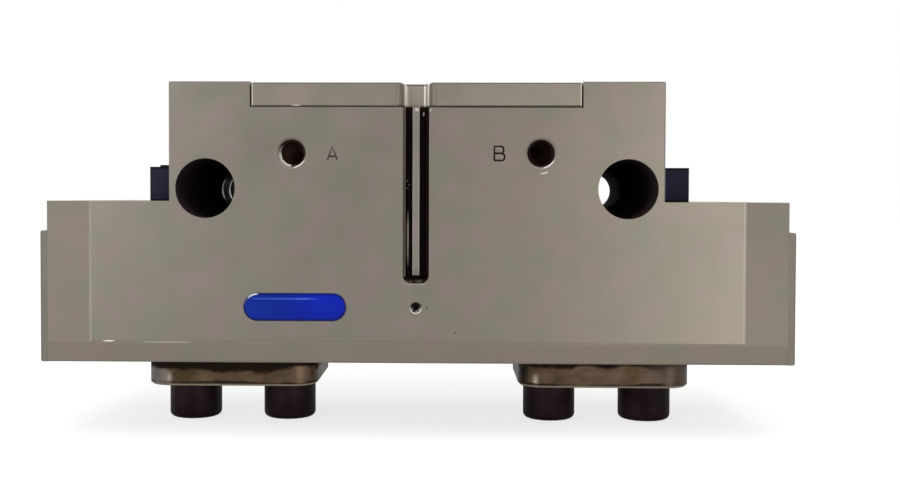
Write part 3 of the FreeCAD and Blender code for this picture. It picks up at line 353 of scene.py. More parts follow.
# Dirt sits in the joint round the cover, a little more of it below on the right.
COVER_END, COVER_SEAT = 69.4, -10.4
near_front = stretch(sunk, 0.9, 0.7)
below_cover = overlap(near_front, stretch(sideways, COVER_END + 0.15, COVER_END + 0.05))
under_cover = overlap(below_cover, between(height, COVER_SEAT - 0.3, COVER_SEAT + 0.1))
under_right = overlap(
    below_cover, between(height, COVER_SEAT - 0.5, COVER_SEAT - 0.3), stretch(along, 0, 15)
)
beside_cover = overlap(
    near_front, between(sideways, COVER_END - 0.1, COVER_END),
    stretch(height, COVER_SEAT - 0.3, COVER_SEAT - 0.2),
)
joint_dirt = either(under_cover, under_right, beside_cover)
lay_over(anodised, (joint_dirt, (32, 23, 18), 0.93))
cover_metal(anodised, joint_dirt)

# The sensor slots: black oil and painted shade deep inside and on the right chamfer, black oil on the lower
# chamfer and a thin line of it on the left, and a paler smear low inside. The rim below them and the edges of
# the rib carry painted highlights, the rib is painted lighter, and it darkens towards its foot.
SLOT_HALF, SLOT_END, RIB_HALF, RIB_END = 5.57, -84.2, 1.425, -80.7
in_slot = overlap(
    stretch(sideways, SLOT_HALF + 0.05, SLOT_HALF - 0.05), stretch(height, SLOT_END - 0.1, SLOT_END),
    between(sunk, 0.04, 8, 0.03),
)
slot_oil_and_shade = overlap(in_slot, either(stretch(sunk, 1.15, 1.35), stretch(along, 4.2, 4.35)))
slot_line = overlap(in_slot, stretch(along, -5.0, -5.1))
slot_rim_highlight = overlap(on_panel, stretch(sideways, 4.6, 3.6), between(height, SLOT_END - 0.6, SLOT_END - 0.1))
slot_foot = overlap(in_slot, stretch(height, -81.0, -81.4))
slot_smear = overlap(in_slot, stretch(height, -82.5, -83.3), stretch(noise(tree, 420.0, 3.0), 0.42, 0.6))
on_rib = overlap(
    on_panel, stretch(sideways, RIB_HALF + 0.05, RIB_HALF), stretch(height, RIB_END - 0.2, RIB_END)
)
rib_edge_highlight = overlap(on_rib, between(sideways, 1.02, RIB_HALF + 0.1), patchy)
rib_foot = overlap(on_rib, stretch(height, -76.5, RIB_END))
lay_over(
    anodised, (slot_line, (40, 30, 24), 0.92), (slot_foot, (16, 9, 6), 1.0), (slot_oil_and_shade, (26, 12, 5), 1.0),
    (slot_smear, (112, 99, 90), 0.6), (slot_rim_highlight, (206, 198, 186), 0.6), (on_rib, (172, 161, 155), 0.4),
    (rib_edge_highlight, (196, 186, 176), 0.8), (rib_foot, (66, 58, 51), 0.5),
)
cover_metal(anodised, slot_line, slot_foot, slot_oil_and_shade)
dull(anodised, slot_oil_and_shade, 0.15)
dull(anodised, slot_foot, 0.5)

# The air ports: black oil inside, painted lighter in the left port and left off its left wall, where it is
# painted light, and clean chamfers with a painted highlight at the lower right.
AIR_PORT = {"Axis X": 52, "Axis Z": -29.8, "Radius": 5.8, "Mouth": 59.2}
LIT_WALL_DEPTH = 5
port = use_group(tree, bores, AIR_PORT)
port_x = work_out("MULTIPLY", work_out("SIGN", along), AIR_PORT["Axis X"])
to_right = work_out("SUBTRACT", along, port_x)
downward = work_out("SUBTRACT", AIR_PORT["Axis Z"], height)
lower_right = raise_by(downward, to_right, 0.7)
lit_wall = overlap(
    on_left, stretch(to_right, -0.2, -0.9), stretch(downward, -3.5, -1.5),
    stretch(sunk, LIT_WALL_DEPTH + 0.1, LIT_WALL_DEPTH),
)
port_oil = overlap(port["Mask"], outside(lit_wall))
left_oil_lit = overlap(port_oil, on_left)
port_chamfer = overlap(between(port["Distance"], 5.75, 6.62), between(sunk, 0.03, 1.0, 0.02))
port_glint = overlap(port_chamfer, stretch(port["Distance"], 6.4, 6.2), stretch(lower_right, 6.5, 7.1))
lay_over(
    anodised, (port_chamfer, (148, 140, 130), 0.8), (port_glint, (252, 249, 242), 0.95),
    (port_oil, (76, 42, 33), 1.0), (left_oil_lit, (92, 63, 51), 1.0),
)

# The purge port: a painted highlight on its chamfer below, and oil inside.
PURGE_PORT = {"Axis X": 0, "Axis Z": -94.3, "Radius": 2.1, "Mouth": 59.55}
purge = use_group(tree, bores, PURGE_PORT)
purge_rim_highlight = overlap(
    between(purge["Distance"], 2.1, 2.55), stretch(height, -94.0, -95.2), between(sunk, -0.1, 0.5)
)
lay_over(anodised, (purge["Mask"], (22, 16, 13), 1.0), (purge_rim_highlight, (240, 236, 226), 0.9))

# The mounting holes: black oil, with painted light at the mouth and painted shade deep inside. In the through
# hole on the left, painted highlights make its rim bright, the wall behind it mottled, and a line further in
# bright.
MOUNTING_HOLE = {"Axis X": 88.25, "Axis Z": -44.6, "Radius": 12.6, "Mouth": 59.9}
SEAT_Y, HOLE_HIGHLIGHT_END_Y, THROUGH_RADIUS = 21.6, 39.5, 9.15
hole = use_group(tree, bores, MOUNTING_HOLE)
through = overlap(
    stretch(hole["Distance"], THROUGH_RADIUS + 0.05, THROUGH_RADIUS - 0.05), on_left,
    between(height, -50, -39, 1.5),
)
hole_rim_highlight = between(inward, SEAT_Y - 0.2, SEAT_Y + 1.6, 0.1)
hole_far_highlight = between(inward, HOLE_HIGHLIGHT_END_Y, HOLE_HIGHLIGHT_END_Y + 2.5, 0.5)
hole_wall_highlight = overlap(between(inward, SEAT_Y, HOLE_HIGHLIGHT_END_Y), stretch(noise(tree, 160.0, 3.0), 0.42, 0.66))
hole_highlights = either(hole_rim_highlight, hole_far_highlight, work_out("MULTIPLY", hole_wall_highlight, 0.35))
hole_highlights = overlap(hole_highlights, through)
mouth_light = overlap(hole["Mask"], stretch(sunk, 30, 2))
deep_wall_shade = overlap(hole["Mask"], stretch(inward, SEAT_Y, SEAT_Y + 2))
hole_oil = overlap(hole["Mask"], outside(hole_highlights))
lay_over(
    anodised, (hole["Mask"], (46, 25, 30), 1.0), (deep_wall_shade, (4, 1, 2), 1.0),
    (mouth_light, (52, 44, 47), 0.7), (hole_highlights, (232, 222, 226), 1.0),
)
cover_metal(anodised, port_oil, port_chamfer, purge["Mask"], purge_rim_highlight, hole_oil)
dull(anodised, port_oil, 0.4)
dull(anodised, hole_oil, 0.65)

add_marks(anodised, [
    # X, Z, half length, half height, depth and colour of a mark
    (52.7, -38.1, 1.3, 0.42, 0.5, (226, 221, 210)),
    (54.1, -37.75, 0.95, 0.45, 0.5, (226, 221, 210)),
    (16.45, -104.8, 0.5, 0.4, 0.5, (40, 34, 30)),
    (4.7, -94.4, 0.25, 1.3, 0.5, (70, 62, 55)),
    (0.1, -88.5, 0.5, 0.3, 0.5, (90, 82, 74)),
    # Painted highlights: two at the top of the rib, one in the right groove near its top, and a long one down
    # the left groove.
    (6.05, -11.95, 0.4, 0.4, 0.5, (240, 236, 228)),
    (0.3, -11.7, 0.95, 0.9, 0.5, (214, 208, 198)),
    (3.0, -13.2, 0.35, 1.0, 8.0, (226, 220, 210)),
    (-3.55, -65.5, 0.45, 12.5, 8.0, (255, 240, 224)),
    # A painted glint on the step along the foot.
    (-129.0, -108.75, 3.0, 0.27, 0.9, (255, 252, 244)),
    (-3.8, -41.3, 0.3, 0.4, 8.0, (220, 212, 202)),
    (-3.2, -43.0, 0.3, 0.3, 8.0, (220, 212, 202)),
    (-3.7, -44.4, 0.3, 0.3, 8.0, (220, 212, 202)),
])
finish_node("housing", anodised)

# Cylinder cover
# A flat aluminium plate let into the top of the housing, anodised with it, with a spigot in the cylinder
# and a moulded rubber seal round it. Eight screws hold it down.

cover_finish = coated(
    "cover_anodised", light=(160, 149, 140), dark=(153, 148, 135), cloud_scale=85.0, smooth=0.36, rough=0.46,
    edge_width=0.2, edge_colour=(126, 119, 109), relief=0.25, metallic=0.9, shine=0.2,
)
tree = cover_finish.node_tree
along, inward, height = parts_of_place(tree)
sideways = work_out("ABSOLUTE", along)
sunk = work_out("ADD", inward, PANEL)
near_front = stretch(sunk, 0.9, 0.7)
# Painted light: the front is painted paler towards the right end.
painted_light_right = overlap(stretch(along, 0, 40), stretch(sunk, 0.3, 0.2))
lay_over(cover_finish, (painted_light_right, (174, 167, 152), 0.3))

# The notch over the sensor slots: painted shade on its round edges and along its top, painted highlights on
# its walls, a pale floor, and dirt at its foot.
notch_round_shade = overlap(between(sunk, 0.02, 2.2, 0.1), between(sideways, 5.7, 8.7, 0.2))
bright_left = between(along, -5.1, -4.1, 0.3)
bright_right = between(along, 4.5, 5.8, 0.2)
bright_line = between(along, 3.1, 3.7, 0.1)
notch_wall_highlight = overlap(
    either(bright_line, bright_left, bright_right), stretch(sunk, 2.6, 3.8), stretch(sunk, 8.6, 8.4)
)
notch_back = between(sunk, 7.6, 8.4, 0.2)
notch_floor = overlap(notch_back, stretch(sideways, 5, 4))
notch_top_shade = overlap(notch_back, stretch(sideways, 5.4, 5.2), stretch(height, -1.3, -1.1))
notch_dirt = overlap(
    stretch(sideways, 8.2, 7.4), stretch(height, -9.2, -10.2), stretch(noise(tree, 500.0, 3.0), 0.4, 0.55)
)

# The edges along the joint carry painted highlights, with dirt beside them, and the top edge painted shade.
end_edge_highlight = overlap(between(sideways, 68.25, 68.7), near_front)
end_dirt = overlap(stretch(sideways, 68.7, 68.8), near_front)
seam_edge_highlight = overlap(between(height, -10.2, -9.8, 0.1), near_front)
bottom_dirt = overlap(between(height, -10.5, -10.3), near_front)
top_edge_shade = overlap(stretch(height, -1.15, -1.0), stretch(sunk, 0.4, 0.3))
lay_films(
    cover_finish, (notch_floor, (168, 164, 146), 0.6), (notch_round_shade, (116, 110, 98), 0.9),
    (notch_wall_highlight, (255, 252, 244), 1.0), (notch_top_shade, (58, 54, 47), 0.8), (end_edge_highlight, (240, 233, 220), 0.9),
    (seam_edge_highlight, (204, 196, 184), 0.4), (end_dirt, (36, 27, 21), 0.85), (top_edge_shade, (92, 88, 80), 0.75),
    (notch_dirt, (52, 42, 34), 0.75), (bottom_dirt, (36, 27, 21), 0.85),
)
# A painted glint on the lower edge of the cover, at the joint.
add_marks(cover_finish, [(-50.1, -10.0, 2.2, 0.4, 0.9, (244, 240, 232))])
finish_node("cylinder_cover", cover_finish)

rubber = coated(
    "seal_rubber", light=(30, 30, 31), dark=(22, 22, 23), cloud_scale=160.0, smooth=0.5, rough=0.62,
    edge_width=0.2, edge_colour=(44, 44, 45), relief=0.2, metallic=0.0,
)
for seal in ("cover_seal", "rod_seal", "piston_seal"):
    finish_node(seal, rubber)

# Cover screws
# Eight M6 socket head cap screws of blackened steel in counterbores, forged with a round rim and a
# hexagon socket.

SIDES = 64
UPRIGHT = (0, 0, 0)
QUARTER = math.pi / 2
CLOSE = 0.01 * MM

# The tip of a socket as a share of its flats, and its tapered mouth as shares of its corner radius.
SOCKET_TIP, MOUTH_INNER, MOUTH_OUTER, MOUTH_DEPTH = 0.15, 0.84, 1.24, 0.4


def begin(name, add, **settings):
    """Adds a primitive as the start of a new piece, with nothing else selected."""
    bpy.ops.object.select_all(action="DESELECT")
    add(**settings)
    piece = bpy.context.object
    piece.name = name
    bpy.ops.object.transform_apply(location=True, rotation=True, scale=True)
    return piece


def cylinder(name, radius, depth, location, rotation=UPRIGHT, sides=SIDES):
    """Starts a new piece as a cylinder along Z, or along the axis that the rotation gives it."""
    return begin(
        name, bpy.ops.mesh.primitive_cylinder_add, vertices=sides, radius=radius, depth=depth,
        location=location, rotation=rotation,
    )


def pick(piece, kind, wanted):
    """In edit mode, selects only the vertices, edges or faces that are wanted."""
    bpy.ops.mesh.select_mode(type=kind)
    bpy.ops.mesh.select_all(action="DESELECT")
    mesh = bmesh.from_edit_mesh(piece.data)
    for item in {"VERT": mesh.verts, "EDGE": mesh.edges, "FACE": mesh.faces}[kind]:
        item.select_set(wanted(item))
    mesh.select_flush_mode()
    bmesh.update_edit_mesh(piece.data)


def bevel_level(piece, z, offset, segments):
    """In edit mode, bevels the edges that lie level at that height."""
    pick(piece, "EDGE", lambda edge: all(abs(corner.co.z - z) < CLOSE for corner in edge.verts))
    bpy.ops.mesh.bevel(offset=offset, segments=segments, affect="EDGES")


def facing_down(face):
    """Says whether a face looks down."""
    return face.normal.z < -0.9


def take_hold(piece):
    """Makes the piece the only one selected, and the active one."""
    bpy.ops.object.select_all(action="DESELECT")
    piece.select_set(True)
    bpy.context.view_layer.objects.active = piece


def finish_with(piece, kind, **settings):
    """Adds a modifier to the piece and applies it."""
    take_hold(piece)
    bpy.ops.object.modifier_add(type=kind)
    modifier = piece.modifiers[-1]
    for name, value in settings.items():
        setattr(modifier, name, value)
    bpy.ops.object.modifier_apply(modifier=modifier.name)


def cut(piece, *tools):
    """Takes the shape of each tool out of the piece, and the tool away."""
    for tool in tools:
        finish_with(piece, "BOOLEAN", object=tool, operation="DIFFERENCE")
        bpy.data.objects.remove(tool)


def cut_socket(screw, flats, depth):
    """Cuts a hexagon socket into a screw along Z, from Z 0 down, with a tapered bottom and mouth."""
    corner = flats / math.sqrt(3)
    hexagon = cylinder("hexagon", corner, 2 * depth, (0, 0, 0), sides=6)
    bpy.ops.object.mode_set(mode="EDIT")
    pick(hexagon, "FACE", facing_down)
    bpy.ops.mesh.poke(offset=flats * SOCKET_TIP)
    bpy.ops.object.mode_set(mode="OBJECT")
    mouth = begin(
        "mouth", bpy.ops.mesh.primitive_cone_add, vertices=SIDES, radius1=corner * MOUTH_INNER,
        radius2=corner * MOUTH_OUTER, depth=corner * MOUTH_DEPTH, location=(0, 0, 0),
    )
    cut(screw, hexagon, mouth)


def smooth_over(piece, degrees=35):
    """Shades the piece smooth, up to that angle between its faces."""
    take_hold(piece)
    bpy.ops.object.shade_smooth_by_angle(angle=math.radians(degrees))


def cap_screw(head, head_height, flats, thread, length, rounding):
    """A socket head cap screw along Z, with the top of its head at Z 0."""
    screw = cylinder("cap_screw", head / 2, head_height, (0, 0, -head_height / 2))
    bpy.ops.object.mode_set(mode="EDIT")
    pick(screw, "FACE", facing_down)
    bpy.ops.mesh.inset(thickness=(head - thread) / 2)
    bpy.ops.mesh.extrude_region_move(TRANSFORM_OT_translate={"value": (0, 0, head_height - length)})
    bevel_level(screw, 0, rounding, segments=6)
    bevel_level(screw, -length, thread * 0.08, segments=1)
    bpy.ops.object.mode_set(mode="OBJECT")
    cut_socket(screw, flats, head_height * 0.55)
    smooth_over(screw)
    return screw


def copy_to(master, name, place, turn):
    """A copy of the master with its own mesh, its place and turn in its vertices."""
    take_hold(master)
    bpy.ops.object.duplicate()
    copied = bpy.context.object
    copied.name = name
    copied.data.name = name
    copied.location = place
    copied.rotation_euler = turn
    bpy.ops.object.transform_apply(location=True, rotation=True, scale=True)
    return copied


def fit(piece, material, body, slot, *nodes):
    """Gives a piece its finish and its body, and hides the nodes that it stands for. The slot is not used."""
    piece.data.materials.clear()
    piece.data.materials.append(material)
    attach(piece, body)
    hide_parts(*nodes)


def set_in(master, name, places, material, body, slot, *nodes):
    """Fits a numbered copy of the master at each place and turn, and takes the master away."""
    for number, (place, turn) in enumerate(places, start=1):
        fit(copy_to(master, f"{name}_{number}", place, turn), material, body, slot, *nodes)
    bpy.data.objects.remove(master)


blackened = coated(
    "screw_blackened", light=(52, 47, 49), dark=(38, 33, 35), cloud_scale=220.0, smooth=0.34, rough=0.5,
    edge_width=0.25, edge_colour=(92, 86, 84), relief=0.2, metallic=0.75,
)
COVER_HEAD, COVER_SCREW_INNER = 10 * MM, 23 * MM
low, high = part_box("cover_screws")
rows = (low.y + COVER_HEAD / 2, high.y - COVER_HEAD / 2)
columns = (low.x + COVER_HEAD / 2, -COVER_SCREW_INNER, COVER_SCREW_INNER, high.x - COVER_HEAD / 2)
master = cap_screw(
    COVER_HEAD, head_height=6 * MM, flats=5 * MM, thread=6 * MM, length=high.z - low.z, rounding=0.5 * MM
)
places = [((x, y, high.z), UPRIGHT) for y in rows for x in columns]
set_in(master, "cover_screw", places, blackened, "housing", "screw_steel", "cover_screws")

# End covers
# Two aluminium plates that close the ends of the jaw guide, anodised as the housing is. Four countersunk
# screws with hexagon sockets hold each of them.

end_finish = coated(
    "end_cover_anodised", light=(136, 128, 119), dark=(129, 125, 114), cloud_scale=60.0, smooth=0.42,
    rough=0.54, edge_width=0.25, edge_colour=(112, 106, 97), relief=0.25, metallic=0.8, shine=0.15,
)
for side in ("left", "right"):
    finish_node(f"{side}_end_cover", end_finish)

END_HEAD, END_HEAD_HEIGHT, END_THREAD, END_LENGTH = 7.5 * MM, 2 * MM, 4 * MM, 13 * MM
master = begin(
    "countersunk_screw", bpy.ops.mesh.primitive_cone_add, vertices=SIDES, radius1=END_THREAD / 2,
    radius2=END_HEAD / 2, depth=END_HEAD_HEIGHT, location=(0, 0, -END_HEAD_HEIGHT / 2),
)
bpy.ops.object.mode_set(mode="EDIT")
pick(master, "FACE", facing_down)
bpy.ops.mesh.extrude_region_move(TRANSFORM_OT_translate={"value": (0, 0, END_HEAD_HEIGHT - END_LENGTH)})
bevel_level(master, 0, 0.2 * MM, segments=3)
bpy.ops.object.mode_set(mode="OBJECT")
cut_socket(master, flats=2.5 * MM, depth=1.1 * MM)
smooth_over(master)
low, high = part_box("end_cover_screws")
places = [
    ((x, y, z), (0, turn, 0))
    for x, turn in ((low.x, -QUARTER), (high.x, QUARTER))
    for y in (low.y + END_HEAD / 2, high.y - END_HEAD / 2)
    for z in (low.z + END_HEAD / 2, high.z - END_HEAD / 2)
]
set_in(master, "end_cover_screw", places, blackened, "housing", "screw_steel", "end_cover_screws")

# Port letters
# One letter beside each air port, engraved into the anodising with a fine round cutter. The grooves have
# filled with dark oil, those of B more than those of A.

LETTERS = [
    # letter, width of its groove in mm, its strokes by X and Z in mm, and the two tints of the oil in it
    ("A", 0.75, [
        [(-37.0, -32.65), (-35.0, -27.2), (-32.9, -32.5)],
        [(-36.3, -31.2), (-33.4, -31.2)],
    ], (74, 62, 53), (62, 52, 44)),
    ("B", 0.8, [
        [(32.55, -32.75), (32.55, -26.95), (35.7, -26.95), (36.35, -27.6), (36.35, -29.2), (35.9, -29.8)],
        [(32.55, -29.8), (35.9, -29.8), (36.8, -30.7), (36.8, -31.9), (36.1, -32.75), (32.55, -32.75)],
    ], (24, 16, 11), (19, 12, 8)),
]
GROOVE_FLATNESS = 0.1
for letter, width, strokes, light, dark in LETTERS:
    made = []
    for stroke in strokes:
        x, z = stroke[0]
        begin("stroke", bpy.ops.mesh.primitive_plane_add, size=MM, location=(x * MM, -PANEL * MM, z * MM))
        bpy.ops.object.mode_set(mode="EDIT")
        pick(bpy.context.object, "VERT", lambda corner: True)
        bpy.ops.mesh.merge(type="CENTER")
        for (x, z), (next_x, next_z) in zip(stroke, stroke[1:]):
            bpy.ops.mesh.extrude_region_move(
                TRANSFORM_OT_translate={"value": ((next_x - x) * MM, 0, (next_z - z) * MM)}
            )
        bpy.ops.object.mode_set(mode="OBJECT")
        bpy.ops.object.convert(target="CURVE")
        line = bpy.context.object
        line.data.bevel_depth = width / 2 * MM
        line.data.bevel_resolution = 4
        line.data.use_fill_caps = True
        bpy.ops.object.convert(target="MESH")
        made.append(bpy.context.object)
    bpy.ops.object.select_all(action="DESELECT")
    for line in made:
        line.select_set(True)
    bpy.context.view_layer.objects.active = made[0]
    bpy.ops.object.join()
    piece = bpy.context.object
    piece.name = f"port_letter_{letter}"
    bpy.ops.object.transform_apply(location=True, rotation=True, scale=True)
    bpy.ops.object.mode_set(mode="EDIT")
    bpy.ops.mesh.select_all(action="SELECT")
    bpy.ops.transform.resize(value=(1, GROOVE_FLATNESS, 1), center_override=(0, -PANEL * MM, 0))
    bpy.ops.object.mode_set(mode="OBJECT")
    smooth_over(piece)
    groove = coated(
        f"letter_groove_{letter}", light, dark, cloud_scale=900.0, smooth=0.5, rough=0.65, edge_width=0.02,
        edge_colour=light, relief=0.2, metallic=0.0, shine=0.1,
    )
    fit(piece, groove, "housing", "housing_metal")

# Threads
# Turns of thread, cut by a tap into the air ports and into the four mounting holes in the top, black with
# oil. The threads on the left are painted lighter, and the left wall of the left port is painted light, with
# a painted highlight on it.


def thread_ridge(core, pitch, length):
    """The ridge of an inside thread as a helix round Z, from Z 0 down."""
    ridge = begin(
        "thread_ridge", bpy.ops.mesh.primitive_circle_add, vertices=3, radius=pitch * 0.5,
        fill_type="NOTHING", location=(core / 2 - pitch * 0.12, 0, -pitch / 2),
        rotation=(QUARTER, -QUARTER, 0), scale=(1, 0.5, 1),
    )
    finish_with(
        ridge, "SCREW", steps=40, render_steps=40, screw_offset=-pitch, iterations=int(length / pitch),
        use_merge_vertices=True,
    )
    take_hold(ridge)
    bpy.ops.object.mode_set(mode="EDIT")
    bpy.ops.mesh.select_all(action="SELECT")
    bpy.ops.mesh.fill_holes(sides=3)
    bpy.ops.mesh.select_all(action="SELECT")
    bpy.ops.mesh.normals_make_consistent(inside=False)
    bpy.ops.object.mode_set(mode="OBJECT")
    smooth_over(ridge, 40)
    return ridge


tapped = coated(
    "tapped_aluminium", light=(38, 23, 18), dark=(27, 16, 12), cloud_scale=400.0, smooth=0.5, rough=0.7,
    edge_width=0.1, edge_colour=(46, 29, 23), relief=0.2, metallic=0.0, shine=0.1,
)
tree = tapped.node_tree
along, inward, height = parts_of_place(tree)
sunk = work_out("ADD", inward, PANEL)
# Painted light on the left wall of the left port, and a painted highlight lower on it.
lit_wall = overlap(
    between(along, -60, -52.6, 0.3), stretch(height, -26.3, -28.3),
    stretch(sunk, LIT_WALL_DEPTH + 0.1, LIT_WALL_DEPTH),
)
port_wall_highlight = overlap(lit_wall, stretch(height, -28.9, -30.4), stretch(sunk, 1.5, 3.0))
lay_over(
    tapped, (stretch(along, 0, -1), (57, 39, 32), 0.8), (lit_wall, (146, 138, 130), 1.0),
    (port_wall_highlight, (255, 252, 246), 1.0),
)
THREADS = [
    # name, core, pitch, length, turn of the axis, start of each hole
    ("port_thread", 11.45 * MM, 1.337 * MM, 12 * MM, (QUARTER, 0, 0),
     [(side * AIR_PORT["Axis X"] * MM, -59 * MM, AIR_PORT["Axis Z"] * MM) for side in (-1, 1)]),
    ("mounting_thread", 10.2 * MM, 1.75 * MM, 21 * MM, UPRIGHT,
     [(side * 88.25 * MM, edge * 42 * MM, -1.2 * MM) for side in (-1, 1) for edge in (-1, 1)]),
]
for name, core, pitch, length, turn, starts in THREADS:
    places = [(start, turn) for start in starts]
    set_in(thread_ridge(core, pitch, length), name, places, tapped, "housing", "housing_metal")

# Purge plug
# A small set screw with a hexagon socket that closes the purge port under the sensor slots, of blackened
# steel with oil on it. Its lower rim carries a painted highlight.


def set_screw(diameter, length, flats):
    """A set screw along Z, with its face at Z 0."""
    screw = cylinder("set_screw", diameter / 2, length, (0, 0, -length / 2))
    bpy.ops.object.mode_set(mode="EDIT")
    bevel_level(screw, 0, diameter * 0.07, segments=2)
    bevel_level(screw, -length, diameter * 0.1, segments=1)
    bpy.ops.object.mode_set(mode="OBJECT")
    cut_socket(screw, flats, length * 0.45)
    smooth_over(screw)
    return screw


low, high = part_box("purge_plug")
middle = (low + high) / 2
master = set_screw(diameter=high.x - low.x, length=high.y - low.y, flats=2.5 * MM)
plug = copy_to(master, "purge_plug_screw", (middle.x, low.y, middle.z), (QUARTER, 0, 0))
bpy.data.objects.remove(master)
plug_steel = coated(
    "plug_steel", light=(34, 27, 22), dark=(20, 14, 11), cloud_scale=600.0, smooth=0.34, rough=0.46,
    edge_width=0.1, edge_colour=(60, 52, 45), relief=0.2, metallic=0.3, shine=0.1,
)
tree = plug_steel.node_tree
axis = middle.z / MM
# A painted highlight on the lower rim of the plug.
plug_rim_highlight = overlap(
    between(use_group(tree, bores, PURGE_PORT)["Distance"], 1.45, 1.85, 0.1),
    stretch(parts_of_place(tree)["Z"], axis + 0.3, axis - 0.8), stretch(noise(tree, 700.0), 0.4, 0.5),
)
lay_over(plug_steel, (plug_rim_highlight, (216, 209, 196), 1.0))
fit(plug, plug_steel, "housing", "screw_steel", "purge_plug")

# Sensor brackets
# A black moulded block on each shoulder that clamps a round sensor upright in its bore, the same piece on
# both sides, turned round. Two cap screws hold it down, and a set screw from the side clamps the sensor.

plastic = coated(
    "bracket_plastic", light=(45, 41, 65), dark=(35, 31, 53), cloud_scale=90.0, smooth=0.46, rough=0.6,
    edge_width=0.3, edge_colour=(10, 8, 13), relief=0.35, metallic=0.0, shine=0.12,
)
along, inward, height = parts_of_place(plastic.node_tree)
sideways = work_out("ABSOLUTE", along)
outward = work_out("ABSOLUTE", inward)
low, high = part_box("right_sensor_bracket")
near, far = low / MM, high / MM
rim = either(
    stretch(sideways, far.x - 1.1, far.x - 0.8), stretch(sideways, near.x + 1.1, near.x + 0.8),
    stretch(height, far.z - 1.9, far.z - 1.6), stretch(height, near.z + 1.0, near.z + 0.7),
)
end_rim = overlap(rim, stretch(outward, far.y - 0.35, far.y - 0.2))
lay_over(plastic, (end_rim, (4, 3, 5), 0.9))

LIP, LIP_WIDTH, LIP_LENGTH, SENSOR_BORE = 0.8 * MM, 12.3 * MM, 20 * MM, 8.2 * MM
BRACKET_SCREW_Y, BRACKET_POCKET, BRACKET_SEAT = 17 * MM, 8 * MM, -39.3 * MM
CLAMP_DIAMETER, CLAMP_Z = 4 * MM, -42.4 * MM
bore_x = (low.x + high.x) / 2
body_top = high.z - LIP
master = begin(
    "bracket", bpy.ops.mesh.primitive_cube_add, size=1,
    scale=(high.x - low.x, high.y - low.y, body_top - low.z), location=(bore_x, 0, (low.z + body_top) / 2),
)
bpy.ops.object.mode_set(mode="EDIT")
bpy.ops.mesh.select_all(action="SELECT")
bpy.ops.mesh.bisect(plane_co=(low.x + LIP_WIDTH, 0, 0), plane_no=(1, 0, 0))
bpy.ops.mesh.select_all(action="SELECT")
bpy.ops.mesh.bisect(plane_co=(0, high.y - LIP_LENGTH, 0), plane_no=(0, 1, 0))
pick(
    master, "FACE",
    lambda face: face.normal.z > 0.9 and face.calc_center_median().x < low.x + LIP_WIDTH
    and face.calc_center_median().y > high.y - LIP_LENGTH,
)
bpy.ops.mesh.extrude_region_move(TRANSFORM_OT_translate={"value": (0, 0, LIP)})
pick(
    master, "EDGE",
    lambda edge: all(corner.co.x > high.x - CLOSE for corner in edge.verts)
    and abs(edge.verts[0].co.y - edge.verts[1].co.y) < CLOSE,
)
bpy.ops.mesh.bevel(offset=1.5 * MM, segments=6, affect="EDGES")
bpy.ops.object.mode_set(mode="OBJECT")
tall = 3 * (high.z - low.z)
bore = cylinder("bore", SENSOR_BORE / 2, tall, (bore_x, 0, low.z))
clamp_hole = cylinder(
    "clamp_hole", CLAMP_DIAMETER / 2, high.x - bore_x, (high.x, 0, CLAMP_Z), (0, QUARTER, 0), sides=32
)
pockets = [
    cylinder("pocket", BRACKET_POCKET / 2, tall, (bore_x, side * BRACKET_SCREW_Y, BRACKET_SEAT + tall / 2))
    for side in (-1, 1)
]
cut(master, bore, clamp_hole, *pockets)
finish_with(master, "BEVEL", width=0.3 * MM, segments=3, limit_method="ANGLE", angle_limit=math.radians(50))
smooth_over(master, 40)
for side, turn in (("right", 0), ("left", math.pi)):
    block = copy_to(master, f"{side}_bracket_block", (0, 0, 0), (0, 0, turn))
    fit(block, plastic, "housing", "bracket_plastic", f"{side}_sensor_bracket")
bpy.data.objects.remove(master)

low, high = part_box("bracket_screws")
master = cap_screw(
    head=7 * MM, head_height=4 * MM, flats=3 * MM, thread=4 * MM, length=high.z - low.z, rounding=0.4 * MM
)
places = [
    ((x, y, high.z), UPRIGHT) for x in (-bore_x, bore_x) for y in (-BRACKET_SCREW_Y, BRACKET_SCREW_Y)
]
set_in(master, "bracket_screw", places, blackened, "housing", "screw_steel", "bracket_screws")

low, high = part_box("sensor_clamp_screws")
master = set_screw(diameter=high.y - low.y, length=high.x - bore_x - SENSOR_BORE / 2, flats=2 * MM)
for side, x, turn in (("left", low.x, -QUARTER), ("right", high.x, QUARTER)):
    screw = copy_to(master, f"{side}_clamp_screw", (x, 0, (low.z + high.z) / 2), (0, turn, 0))
    fit(screw, blackened, "housing", "screw_steel", "sensor_clamp_screws")
bpy.data.objects.remove(master)

# Badge
# A capsule-shaped blue label under a dome of clear resin, stuck to the front panel. The resin is painted
# darker round the rim as shade, where the dome falls off, with a long soft painted sheen near its top and a
# painted glint at its upper left corner.

low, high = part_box("front_badge")
middle = (low + high) / 2
BADGE_RADIUS = (high.z - low.z) / 2
STRAIGHT = (high.x - low.x) / 2 - BADGE_RADIUS
BADGE_RIM, BADGE_SIDES = 0.3 * MM, 96
badge = cylinder(
    "badge_label", BADGE_RADIUS, BADGE_RIM, (middle.x, high.y - BADGE_RIM / 2, middle.z),
    (QUARTER, math.pi / BADGE_SIDES, 0), BADGE_SIDES,
)
bpy.ops.object.mode_set(mode="EDIT")
for side in (-1, 1):
    pick(badge, "VERT", lambda corner: (corner.co.x - middle.x) * side > 0)
    bpy.ops.transform.translate(value=(side * STRAIGHT, 0, 0))
pick(badge, "FACE", lambda face: face.normal.y < -0.9)
DOME_STEPS, DOME_REACH = 8, 0.9 * BADGE_RADIUS
dome = high.y - low.y - BADGE_RIM
for step in range(DOME_STEPS):
    turned, turning = (QUARTER * part / DOME_STEPS for part in (step, step + 1))
    bpy.ops.mesh.inset(thickness=DOME_REACH * (math.cos(turned) - math.cos(turning)))
    bpy.ops.transform.translate(value=(0, -dome * (math.sin(turning) - math.sin(turned)), 0))
bpy.ops.object.mode_set(mode="OBJECT")
smooth_over(badge, 40)

